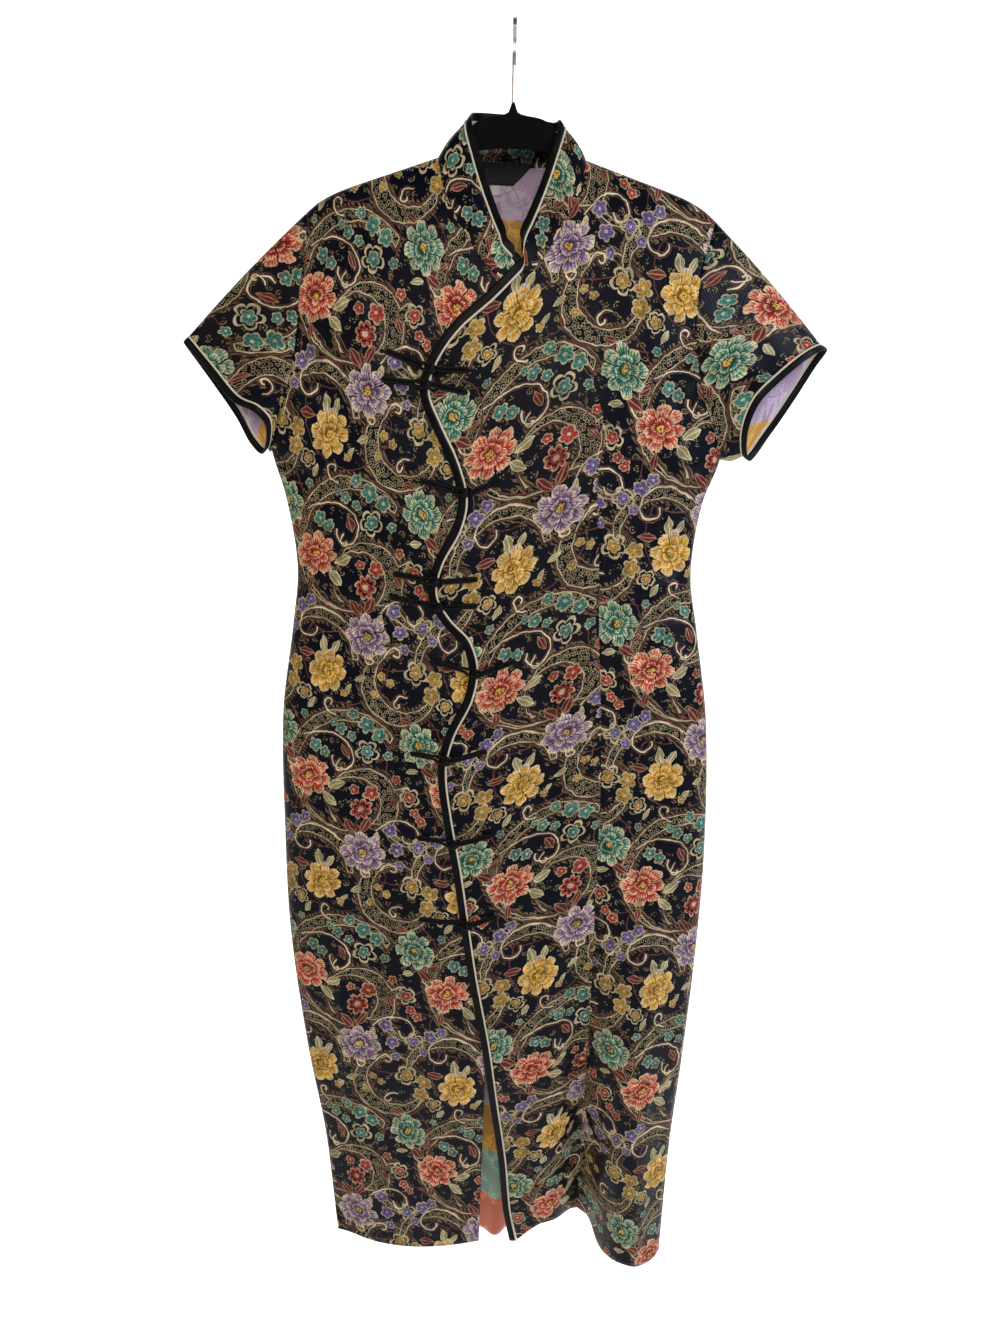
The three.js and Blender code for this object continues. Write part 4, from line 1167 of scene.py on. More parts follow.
@dataclass
class Drape:
    """Dense rows across a hanging cloth, measured along the cloth."""

    surface: Callable[[Array, Array], Array]
    x: Array
    z: Array
    run: Array = field(init=False)

    def __post_init__(self) -> None:
        """Measures each row from its first point."""
        points = np.stack([self.x, self.surface(self.x, self.z), self.z], -1)
        self.run = arc_length(points, 1)

    def place(self, run: Array) -> tuple[Array, Array]:
        """x and z at lengths along each row."""
        return tuple(np.array([np.interp(r, s, v) for r, s, v in zip(run, self.run, values)])
            for values in (self.x, self.z))

    def run_at(self, x: Array) -> Array:
        """The length along each row at x, carried on past its ends as if flat."""
        way = np.sign(self.x[0, -1] - self.x[0, 0])
        inside = np.array([np.interp(way * q, way * v, s) for q, v, s in zip(x, self.x, self.run)])
        past = np.maximum(0, way * (x - self.x[:, -1:])) - np.maximum(0, way * (self.x[:, :1] - x))
        return inside + past


@dataclass(frozen=True)
class RepeatColumn:
    """A column of the repeat down a panel: x and z of each red peony's middle, from the top."""

    places: tuple

    def x(self, z: Array) -> Array:
        """The column's x at a height."""
        return straight(z, [p[1] for p in self.places], [p[0] for p in self.places])

    def count(self, z: Array) -> Array:
        """How many repeats down from the first peony a height is."""
        return straight(z, [p[1] for p in self.places], list(range(len(self.places))))


@dataclass
class BodyPanels:
    """The two fronts and the back, each one panel from the hem to the shoulder."""

    step: float = 5.6
    upper_rows: int = 54
    turns: tuple = (12.2, 9.5, 7.2, 5.4, 4.0, 2.8, 1.8, 1.0, 0.45, 0.12, 0)   # below the shoulder
    upper_rise: float = 245      # from the underarm to the shoulder
    dense: int = 301
    hem_ease: float = 120
    inner_columns: int = 33
    outer_columns: int = 23
    near_seam: tuple = (0, 1, 2.2, 4, 6.5)
    right_columns: int = 60
    back_columns: int = 96
    slope: float = 0.42
    back_rise: float = 0.9733      # the pattern's millimetres for each one up the back
    back_start: float = 54.6
    lower_slack: tuple = (-1174, 0.094)
    repeat: BrocadeRepeat = BrocadeRepeat()
    underlap: tuple = ((-228, 4), (-1351, -13))
    left_inner: RepeatColumn = RepeatColumn(((-2, -139), (-15, -379), (-1, -619), (15, -837),
        (46, -1082), (73, -1288)))
    left_outer: RepeatColumn = RepeatColumn(((141, -110), (148, -353), (155, -596), (160, -840),
        (175, -1106), (201, -1362)))
    right_outer: RepeatColumn = RepeatColumn(((-180, -240), (-190, -483), (-203, -722),
        (-214, -963), (-222, -1215)))
    right_inner: RepeatColumn = RepeatColumn(((-48, -248), (-48, -491), (-50, -734), (-53, -980),
        (-65, -1239)))

    def heights(self) -> tuple[Array, Array]:
        """Levels from the hem to the underarm, and shares of the way on to the shoulder."""
        count = round((FORM.underarm - FORM.hem) / self.step)
        lower = np.linspace(FORM.hem, FORM.underarm, count, endpoint=False)
        plain = np.linspace(0, 0.95, self.upper_rows, endpoint=False)
        return lower, join([plain, 1 - np.array(self.turns) / self.upper_rise])

    def across(self, start: Array, end: Array, z: Array) -> Array:
        """x along rows from start to end, closer together where the cloth turns at the side."""
        half, middle = FORM.half(z), FORM.shift(z)
        a, b = (np.arcsin(np.clip((edge[:, None] - middle) / half, -1, 1)) for edge in (start, end))
        return middle + half * np.sin(lerp(a, b, np.linspace(0, 1, self.dense)))

    def drape(self, surface: Callable, x: tuple, z: Array, line: Curve) -> Drape:
        """A panel's rows, below the underarm and above it, once its hem hangs on its own line."""
        low, up = x
        x = join([low, up])
        z = join([z, FORM.upper_z(self.heights()[1][:, None], up)])
        return Drape(surface, x, z + line(x) * (1 - smoothstep(z, FORM.hem,
            FORM.hem + self.hem_ease)))

    def patch(self, drape: Drape, facing: int, run: Array, seams: list[int],
            flat: Callable) -> Patch:
        """Cuts a panel out of a drape.

        Args:
            drape: The dense rows.
            facing: -1 for a front and 1 for the back.
            run: The columns' lengths along each row.
            seams: The columns that lie on side seams.
            flat: Gives the cells' flat coordinates from x, z and run.

        Returns:
            The panel.
        """
        x, z = drape.place(run)
        points = np.stack([x, drape.surface(x, z), z], -1)
        normals = FORM.normal(drape.surface, facing, x, z)
        lower = len(self.heights()[0]) + 1
        for column in seams:
            normals[:lower, column, 1] = 0
        on_shoulder = np.abs(x[-1]) >= FORM.neck_half - 0.5
        normals[-1, on_shoulder, 1] = 0
        return Patch(points, unit(normals), flat(x, z, run))

    def front(self, side: Side) -> Patch:
        """One front, from its edge in the middle to the side seam."""
        left = side is Side.LEFT
        surface = FORM.overlap_y if left else FORM.front_y
        edge = FORM.overlap_x if left else partial(straight, at=[z for z, _ in self.underlap],
            values=[x for _, x in self.underlap])
        top = FORM.overlaps[0][0] if left else self.underlap[0][0]
        lower, upper = self.heights()
        low_z = np.repeat(lower[:, None], self.dense, 1)
        low_x = self.across(edge(lower), FORM.side_x(side, lower), low_z)
        inner_z, outer_z = FORM.upper_z(upper, 0.0), FORM.upper_z(upper, FORM.shoulder_half)
        start = np.where(inner_z > top, FORM.neck_x(side, inner_z), edge(inner_z))
        end = FORM.shift(outer_z) + side.value * FORM.armhole(outer_z)
        level = lerp(inner_z[:, None], outer_z[:, None], np.linspace(0, 1, self.dense))
        drape = self.drape(surface, (low_x, self.across(start, end, level)), low_z, FORM.front_hem)
        if left:
            return self.patch(drape, -1, self.left_run(drape), [-1], partial(self.left_flat, drape))
        run = drape.run[:, -1:] * np.linspace(0, 1, self.right_columns + 1)
        return self.patch(drape, -1, run, [-1], partial(self.right_flat, drape))

    def left_run(self, drape: Drape) -> Array:
        """The left front's columns: one on the long seam, with closer ones beside it."""
        level = drape.z[:, self.dense // 2]
        total = drape.run[:, -1]
        loose = smoothstep(level, FORM.seam_top, FORM.seam_top + 80)
        share = self.inner_columns / (self.inner_columns + self.outer_columns)
        seam = lerp(drape.run_at(FORM.seam_x(level)[:, None])[:, 0], total * share, loose)[:, None]

        def spread(length: Array, cells: int) -> Array:
            """Distances from the seam, close together at first where there is a seam."""
            near = np.array(self.near_seam)
            rest = near[-1] + (length - near[-1]) * np.linspace(0, 1, cells - len(near) + 2)[1:]
            fine = join([np.repeat(near[None], len(length), 0), rest], axis=1)
            return lerp(fine, length * np.linspace(0, 1, cells + 1), loose[:, None])

        inside = seam - spread(seam, self.inner_columns)[:, ::-1]
        outside = seam + spread(total[:, None] - seam, self.outer_columns)
        return join([inside, outside[:, 1:]], axis=1)

    def left_flat(self, drape: Drape, x: Array, z: Array, run: Array) -> Array:
        """The left front's grain: cut in two along the long seam, and one above the bust."""
        inner, outer, r = self.left_inner, self.left_outer, self.repeat
        sheared = z - self.slope * (x - inner.x(z))
        one = np.stack([run - drape.run_at(inner.x(sheared)), -r.height * inner.count(sheared)], -1)
        two = np.stack([r.width + run - drape.run_at(outer.x(z)), -r.height * outer.count(z)], -1)
        share = smoothstep((x - inner.x(z)) / (outer.x(z) - inner.x(z)), 0, 1)
        both = lerp(one, two, share[..., None])
        joined = smoothstep(z, FORM.seam_top, FORM.seam_top + 120)[..., None]
        flat = corners(lerp(one, both, joined))
        flat[:, self.inner_columns:] = corners(lerp(two, both, joined))[:, self.inner_columns:]
        return flat

    def right_flat(self, drape: Drape, x: Array, z: Array, run: Array) -> Array:
        """The right front's grain, between its two columns of peonies."""
        a, b, r = self.right_outer, self.right_inner, self.repeat
        from_b, to_a = drape.run_at(b.x(z)), drape.run_at(a.x(z))
        t = (run - from_b) / (to_a - from_b)
        return corners(np.stack([-r.width * t, -r.height * lerp(b.count(z), a.count(z), t)], -1))

    def back_flat(self, drape: Drape, x: Array, z: Array, run: Array) -> Array:
        """The back's grain, straight down its middle; the wearer's left is on its right."""
        middle = drape.run_at(np.zeros_like(z))
        start, slower = self.lower_slack
        v = z * self.back_rise + self.back_start + slower * np.maximum(0, start - z)
        return corners(np.stack([middle - run, v], -1))

    def back(self) -> Patch:
        """The back, one panel from side to side and straight across the neck."""
        lower, upper = self.heights()
        low_z = np.repeat(lower[:, None], self.dense, 1)
        left, right = (FORM.side_x(side, lower) for side in (Side.RIGHT, Side.LEFT))
        low_x = self.across(left, right, low_z)
        level = FORM.upper_z(upper, FORM.shoulder_half)
        half, middle = FORM.armhole(level), FORM.shift(level)
        turn = np.arcsin(np.minimum(1, half / FORM.half(level)))
        t = np.linspace(-1, 1, self.dense)
        up_x = middle[:, None] + half[:, None] * np.sin(t * turn[:, None]) / np.sin(turn[:, None])
        drape = self.drape(FORM.back_y, (low_x, up_x), low_z, FORM.back_hem)
        even = drape.run[:, -1:] * np.linspace(0, 1, self.back_columns + 1)
        neck = drape.run_at(np.repeat([[-FORM.neck_half, FORM.neck_half]], len(drape.x), 0))
        thirds = np.linspace(0, 1, self.back_columns // 3 + 1)
        parts = [neck[:, :1] * thirds[:-1], lerp(neck[:, :1], neck[:, 1:], thirds[:-1]),
            lerp(neck[:, 1:], drape.run[:, -1:], thirds)]
        ends = join([np.zeros(len(lower)), upper**4])[:, None]
        run = lerp(even, join(parts, axis=1), ends)
        return self.patch(drape, 1, run, [0, -1], partial(self.back_flat, drape))

    def build(self, finishes: Finishes) -> None:
        """Makes the three panels and keeps their armhole edges for the sleeves."""
        cloth = [finishes.face, finishes.reverse]
        patches = {"front_left": self.front(Side.LEFT), "front_right": self.front(Side.RIGHT),
            "back": self.back()}
        self.pieces, self.sizes = {}, {}
        for name, patch in patches.items():
            wall = cloth_wall(f"{name}_cloth", patch, WALL, cloth)
            self.pieces[name] = finish_piece(wall, "brocade", name)
            self.sizes[name] = patch.size
        first = len(self.heights()[0])
        edges = {Side.LEFT: (("front_left", -1), ("back", -1)),
            Side.RIGHT: (("front_right", -1), ("back", 0))}
        self.armholes = {side: [patches[name].points[first:, column][::-1]
            for name, column in pair] for side, pair in edges.items()}

    def declare(self, overlap_pieces: list) -> None:
        """Passes each panel's size to hang_sheet, which does nothing with it."""
        for name, piece in self.pieces.items():
            hang_sheet(piece, self.sizes[name])


# ---- the collar


def trim(name: str, line: Callable, finishes: Finishes, proud: Callable = lambda points: 0,
        swell: Callable = lambda points: 1, at: tuple = (SEAM + PIPING / 2,
        SEAM + PIPING + SEAM + BINDING / 2), width: float = BINDING,
        closed: bool = False) -> list[Piece]:
    """Sews cream piping and a black binding beyond an edge.

    Args:
        name: The edge's name.
        line: Gives points, normals and the way across, at a distance beyond the edge.
        finishes: The materials.
        proud: How far the piping stands out of the cloth's middle, from its points.
        swell: How much the binding's thickness varies, from its points.
        at: How far beyond the edge the middles of the piping and the binding lie.
        width: The binding's width.
        closed: Whether the edge is a ring.

    Returns:
        The piping and the binding.
    """
    points, normals, across = line(at[0])
    cord = sweep(f"{name}_cream_piping", points + normals * proud(points), across, normals,
        rounded(PIPING_CORD, PIPING_CORD, 10, 2.0), [finishes.piping], closed)
    points, normals, across = line(at[1])
    band = rounded(width, BINDING_WALL, 18, 2.8)
    shape = np.stack(np.broadcast_arrays(band[:, 0], band[:, 1] * swell(points)), -1)
    strip = sweep(f"{name}_satin_binding", points, across, normals, shape, [finishes.binding],
        closed)
    return [finish_piece(cord, "cream_piping", f"{name}_piping"),
        finish_piece(strip, "satin", f"{name}_binding")]


@dataclass
class Collar:
    """The stand collar, with piping and binding along its top."""

    # The place from the front end (0) to the middle of the back (1), then base z, top x, y and z.
    table: tuple = ((0, -225, 10.5, -41, -208), (0.15, -209, 11.5, -38, -190), (0.3, -188, 20, -30,
        -170), (0.45, -165, 30, -22, -145), (0.6, -141, 39, -13, -118), (0.75, -114, 46.5, -1, -88),
        (0.88, -114, 37, 22, -83), (1, -114, 0, 33, -79))
    side_at: float = 0.75
    wall: float = 1.6
    start: float = -0.4
    belly: float = 2.5
    lean: float = -0.1
    columns: int = 112
    rows: int = 10
    proud: float = 0.8           # how far the piping stands out of the collar's middle
    over_ease: float = 0.08      # the overlap's base comes on to the neckline in this share
    under_reach: float = 11.5    # the underlap's end goes this much further round
    under_ease: float = 0.14     # in this share
    corner: float = 3.0          # the radius round which the trims turn down
    corner_points: int = 8
    pucker: float = 0.16         # how much the binding's thickness varies

    def __post_init__(self) -> None:
        """Makes the curves from the table."""
        self.base_z, self.top_x, self.top_y, self.top_z = curves(self.table)

    def line(self, u: Array) -> tuple[Array, Array]:
        """Base and top: -1 is the overlap's end, 0 the back and 1 the underlap's end."""
        u = np.clip(u, -1, 1)
        at, over = 1 - np.abs(u), u < 0
        side = np.where(over, 1, -1)
        lowest = np.where(over, FORM.overlaps[0][0], FORM.necklines[-1][0])
        base_z = np.maximum(lowest, self.base_z(at))
        turn = (at - self.side_at) / (1 - self.side_at) * pi / 2
        half = FORM.neckline(base_z)
        on_front = at < self.side_at
        neck = side * half + FORM.neck_shift * (1 - half / FORM.neck_half)
        base_x = np.where(on_front, neck, side * FORM.neck_half * np.cos(turn))
        joined = np.where(over, smoothstep(at, 0, self.over_ease), 1)
        base_x = lerp(FORM.overlaps[0][1], base_x, joined)
        front = np.where(over, FORM.overlap_y(base_x, base_z), FORM.front_y(base_x, base_z))
        base_y = np.where(on_front, front, FORM.back_y(base_x, base_z))
        lap = np.where(over, LAP * smoothstep(-u, 0.4, 0.9), 0)
        top_x = side * self.top_x(at) + FORM.neck_shift
        reach = self.under_reach * (1 - smoothstep(at, 0, self.under_ease))
        top_x = top_x + np.where(over, 0, reach)
        lean = self.lean * top_x * smoothstep(at, 0.7, 0.9)
        return (np.stack([base_x, base_y, base_z], -1),
            np.stack([top_x, self.top_y(at) - lap, self.top_z(at) + lean], -1))

    def place(self, u: Array, v: float, beyond: float = 0.0) -> Array:
        """Points on the collar: v is 0 at the base and 1 at the top, beyond is past it."""
        base, top = self.line(u)
        rise = unit(top - base)
        out = unit(base * (1, 1, 0))
        bulge = self.belly * smoothstep(1 - np.abs(np.clip(u, -1, 1)), 0.05, 0.35)
        foot = base + rise * self.start
        return (lerp(foot, top, v) + rise * beyond + out * (bulge * sin(pi * min(1, v)))[:, None])

    def cells(self, u: Array, v: float, beyond: float = 0.0) -> Line:
        """Points, outward normals and the way up the collar."""
        base, top = self.line(u)
        rise = unit(top - base)
        n = unit(np.cross(self.place(u + 0.01, v, beyond) - self.place(u - 0.01, v, beyond), rise))
        return self.place(u, v, beyond), facing(n, base * (1, 1, 0)), rise

    def edge(self, distance: float) -> Line:
        """A line beyond the top edge, round the underlap's corner and down to its base."""
        u = np.linspace(-1, 1, self.columns + 1)
        points, normals, across = self.cells(u, 1.0, distance)
        end, end_normals, up = (row[-1] for row in self.cells(u, 1.0))
        before = self.place(np.array([0.97]), 1.0)[0]
        along = end - before
        along = unit(along - up * (along @ up))
        base, top = (row[0] for row in self.line(np.array([1.0])))
        middle = end - self.corner * (along + up)
        keep = (u < 0.8) | ((points - middle) @ along < -0.2)
        a = np.linspace(0, pi / 2, self.corner_points)[:, None]
        way = np.cos(a) * up + np.sin(a) * along
        down = np.linspace(0, np.linalg.norm(top - base) - self.corner, self.corner_points)[1:,
            None]
        reach = self.corner + distance
        points = join([points[keep], middle + reach * way, middle + reach * along - up * down])
        across = join([across[keep], way, np.repeat(along[None], len(down), 0)])
        added = np.repeat(end_normals[None], len(way) + len(down), 0)
        return points, join([normals[keep], added]), across

    def build(self, finishes: Finishes) -> Piece:
        u = np.linspace(-1, 1, self.columns + 1)
        rows = [self.cells(u, v) for v in np.linspace(0, 1, self.rows + 1)]
        points, normals = (np.stack([row[k] for row in rows]) for k in (0, 1))
        run = arc_length(points[self.rows // 2])
        rise = arc_length(points)
        flat = np.stack([np.broadcast_to(run[-1] / 2 - run, rise.shape), rise + 20.0], -1)
        patch = Patch(points, normals, corners(flat))
        wall = cloth_wall("collar_cloth", patch, self.wall, [finishes.face, finishes.face])
        finish_piece(wall, "brocade", "collar")
        edges = trim("collar", self.edge, finishes, lambda points: self.proud,
            lambda points: 1 + self.pucker * np.sin(np.arange(len(points)) * 0.9)[:, None])
        hang_sheet(wall, patch.size)
        return wall


# ---- the overlap's edge


@dataclass
class OverlapEdge:
    """The cream piping and black binding along the overlap's S, carried up into the collar's."""

    collar: Collar
    proud: float = 0.4
    pucker: float = 0.22
    step: float = 4.0
    bridge: int = 6             # points from the overlap's end to the collar's

    def beyond(self, distance: float, z: Array) -> Line:
        """Points beyond the overlap's edge on its surface, their normals and the way across."""
        slant = (FORM.overlap_x(z + 1) - FORM.overlap_x(z - 1)) / 2
        length = np.sqrt(slant**2 + 1)
        x, height = FORM.overlap_x(z) - distance / length, z + slant / length * distance
        normal = FORM.normal(FORM.overlap_y, -1, x, height)
        across = np.stack([-1 / length, np.zeros_like(z), slant / length], -1)
        across = unit(across - normal * (across * normal).sum(-1, keepdims=True))
        return np.stack([x, FORM.overlap_y(x, height), height], -1), normal, across

    def line(self, distance: float) -> Line:
        """A line from the hem to the collar's end, its normals and the way across."""
        top = FORM.overlaps[0][0] - 1
        z = np.linspace(FORM.hem, top, round((top - FORM.hem) / self.step))
        points, normals, across = self.beyond(distance, z)
        end, end_normal, rise = self.collar.cells(np.array([-1.0, -0.985]), 1.0, distance)
        reach = np.linalg.norm(end[0] - points[-1])
        out, into = unit(points[-1] - points[-2]) * reach, unit(end[1] - end[0]) * reach
        t = np.linspace(0, 1, self.bridge + 2)[1:-1, None]
        points = join([points, hermite(t, points[-1], end[0], out, into), end[:1]])
        normals = unit(join([normals, lerp(normals[-1], end_normal[0], t), end_normal[:1]]))
        across = unit(join([across, lerp(across[-1], rise[0], t), rise[:1]]))
        return points, normals, across

    def build(self, finishes: Finishes) -> list[Piece]:
        """Makes the piping and the binding."""
        def proud(points: Array) -> Array:
            """How far the piping stands out, which comes to the collar's at its end."""
            out = np.full((len(points), 1), self.proud)
            out[-self.bridge:, 0] = np.linspace(self.proud, self.collar.proud, self.bridge)
            return out

        def swell(points: Array) -> Array:
            """The binding's puckers."""
            run = arc_length(points)[:, None]
            return 1 + self.pucker * np.sin(run / 9.0) * np.sin(run / 4.3 + 1)

        return trim("overlap", self.line, finishes, proud, swell)


# ---- sleeves


@dataclass(frozen=True)
class SleeveCloth:
    """How one sleeve is cut: the cloth's turn, and where a figure of the repeat comes on it."""

    side: Side
    turn: float
    anchor: tuple
    figure: tuple
    # Creases: where round the sleeve at the armhole and at the cuff (0 top, 1 under), width, depth.
    creases: tuple
    cuff: tuple     # points on the cuff's edge, from the top round the front, under and back up


@dataclass
class Sleeves:
    """The two short sleeves, each a ring of cloth from the armhole to a bound cuff."""

    rows: int = 30
    fullness: float = 5
    seam: float = 0.45
    start: float = 0.4
    eased_from: float = 300      # how far down the armhole the seam begins to open
    lowest: int = 5              # which of a cuff's points lies under the arm
    cuts: tuple = (SleeveCloth(Side.LEFT, 118, (258, -250), (0, 0), ((0.34, 0.5, 0.07, 2.2),
        (0.55, 0.74, 0.06, -1.8), (0.8, 0.62, 0.07, 2.0), (0.18, 0.22, 0.06, -1.2)),
        ((303, 1, -272), (284, -16, -278), (256, -24, -300), (236, -22, -323), (229, -14, -352),
        (237, 1, -379), (258, 13, -354), (279, 16, -321), (296, 11, -288))), SleeveCloth(Side.RIGHT,
        217, (-255, -266), (68, 37), ((0.36, 0.44, 0.07, 2.0), (0.6, 0.7, 0.06, -1.8), (0.84, 0.6,
        0.06, 1.8), (0.16, 0.2, 0.06, -1.2)), ((-310, 1, -276), (-284, -12, -303), (-258, -20,
        -331), (-239, -24, -339), (-229, -19, -352), (-237, -4, -380), (-251, 8, -371), (-265, 12,
        -346), (-289, 9, -309))))

    def cuff_at(self, cut: SleeveCloth, t: Array) -> Array:
        """The cuff's edge, a smooth closed curve through its points."""
        p = np.array(cut.cuff, float)
        count = len(p)
        share = (t * count) % count
        i = np.floor(share).astype(int)
        w = (share - i)[:, None]
        a, b, c, d = (p[(i + k) % count] for k in (-1, 0, 1, 2))
        ab, bc, cd = (np.sqrt(np.linalg.norm(n - m, axis=1))[:, None]
            for m, n in ((a, b), (b, c), (c, d)))
        out = ((b - a) / ab - (c - a) / (ab + bc) + (c - b) / bc) * bc
        into = ((c - b) / bc - (d - b) / (bc + cd) + (d - c) / cd) * bc
        return hermite(w, b, c, out, into)

    def grid(self, cut: SleeveCloth, front: Array, back: Array) -> tuple[Callable, Array, int]:
        """The sleeve as a function of the share from the armhole to the cuff.

        Args:
            cut: The sleeve's cut.
            front: The front's armhole edge, from the shoulder to the underarm.
            back: The back's.

        Returns:
            The function, which gives points and outward vectors; the sleeve's direction; and the
            column at the shoulder. The ring starts at the underarm and runs up the back.
        """
        armhole = join([front, back[-2:0:-1]])
        run = arc_length(wrapped(armhole, 0))
        share = run[:-1] / run[-1]
        under = share[len(front) - 1]
        bottom = self.lowest / len(cut.cuff)
        t = np.where(share < under, share / under * bottom, lerp(bottom, 1,
            (share - under) / (1 - under)))
        cuff = self.cuff_at(cut, t)
        middle, end = armhole.mean(0), cuff.mean(0)
        way = unit(end - middle)
        along = unit(cuff - armhole)
        eased = self.start + SEAM * smoothstep(-armhole[:, 2], self.eased_from, -FORM.underarm)
        from_edge = armhole + along * eased[:, None]
        first = len(front) - 1

        def at(v: float) -> tuple[Array, Array]:
            """Points and outward vectors at a share of the way to the cuff, or metres beyond."""
            share = min(v, 1.0)
            p = lerp(from_edge, cuff, share)
            out = unit((p - lerp(middle, end, share)) * (0, 1, 1))
            p = p + out * self.fullness * sin(pi * share) * 0.6 + way * max(0.0, v - 1) * 1000
            return np.roll(p, -first, 0), np.roll(out, -first, 0)

        return at, way, len(armhole) - first

    def flat(self, cut: SleeveCloth, points: Array, top: int) -> Array:
        """The sleeve unrolled: the front half as it is seen, and the back half carried on."""
        run = arc_length(wrapped(points, 1), 1)
        run = run - run[:, top:top + 1]
        crown, under = points[:, top][:, [0, 2]], points[:, 0][:, [0, 2]]
        spread = crown[:, None] + unit(under - crown)[:, None] * run[..., None]
        a = radians(-cut.turn)
        turned = (spread - np.array(cut.anchor)) @ np.array([[cos(a), sin(a)], [-sin(a), cos(a)]])
        return corners(turned + np.array(cut.figure))

    def creased(self, cut: SleeveCloth, points: Array, normals: Array, top: int) -> Array:
        """Pulls soft creases into the front and the back of the sleeve."""
        count = points.shape[1]
        index = np.arange(count)
        round_share = np.where(index >= top, (index - top) / (count - top), (top - index) / top)
        moved = points.copy()
        for i, row in enumerate(points):
            v = i / (len(points) - 1)
            for at_armhole, at_cuff, width, depth in cut.creases:
                off = (round_share - lerp(at_armhole, at_cuff, v)) / width
                moved[i] = moved[i] - normals[i] * (depth * sin(pi * v) ** 0.7
                    * np.exp(-(off**2)))[:, None]
        return moved

    def edge(self, at: Callable, way: Array, distance: float) -> Line:
        """A ring beyond a cuff, its normals and the way across."""
        path, out = at(1 + distance / 1000)
        keep = np.linalg.norm(np.roll(path, -1, 0) - path, axis=1) > 0.05
        path, out = path[keep], out[keep]
        across = np.broadcast_to(way, path.shape)
        normals = unit(np.cross(np.roll(path, -1, 0) - np.roll(path, 1, 0), across))
        return path, facing(normals, out), across

    def build(self, finishes: Finishes, armholes: dict) -> None:
        for cut in self.cuts:
            name = cut.side.name.lower()
            at, way, top = self.grid(cut, *armholes[cut.side])
            rows = [at(v) for v in np.linspace(0, 1, self.rows + 1)]
            points, outward = (np.stack([row[k] for row in rows]) for k in (0, 1))
            normals = ring_normals(points, outward)
            points = self.creased(cut, points, normals, top)
            normals = ring_normals(points, outward)
            patch = Patch(points, normals, self.flat(cut, points, top), ring=True)
            wall = cloth_wall(f"sleeve_{name}_cloth", patch, WALL, [finishes.face,
                finishes.reverse])
            finish_piece(wall, "brocade", f"sleeve_{name}")
            edges = trim(f"cuff_{name}", partial(self.edge, at, way), finishes,
                at=(self.seam + PIPING / 2, (self.seam + 2 * PIPING + BINDING) / 2 + 0.1),
                width=BINDING - self.seam, closed=True)
            hang_sheet(wall, patch.size)


# ---- frogs


@dataclass(frozen=True)
class FrogPlace:
    """Where a frog crosses the overlap's edge, and the ends of its two tails."""

    z: float
    loop_x: float
    loop_z: float
    knot_x: float
    knot_z: float


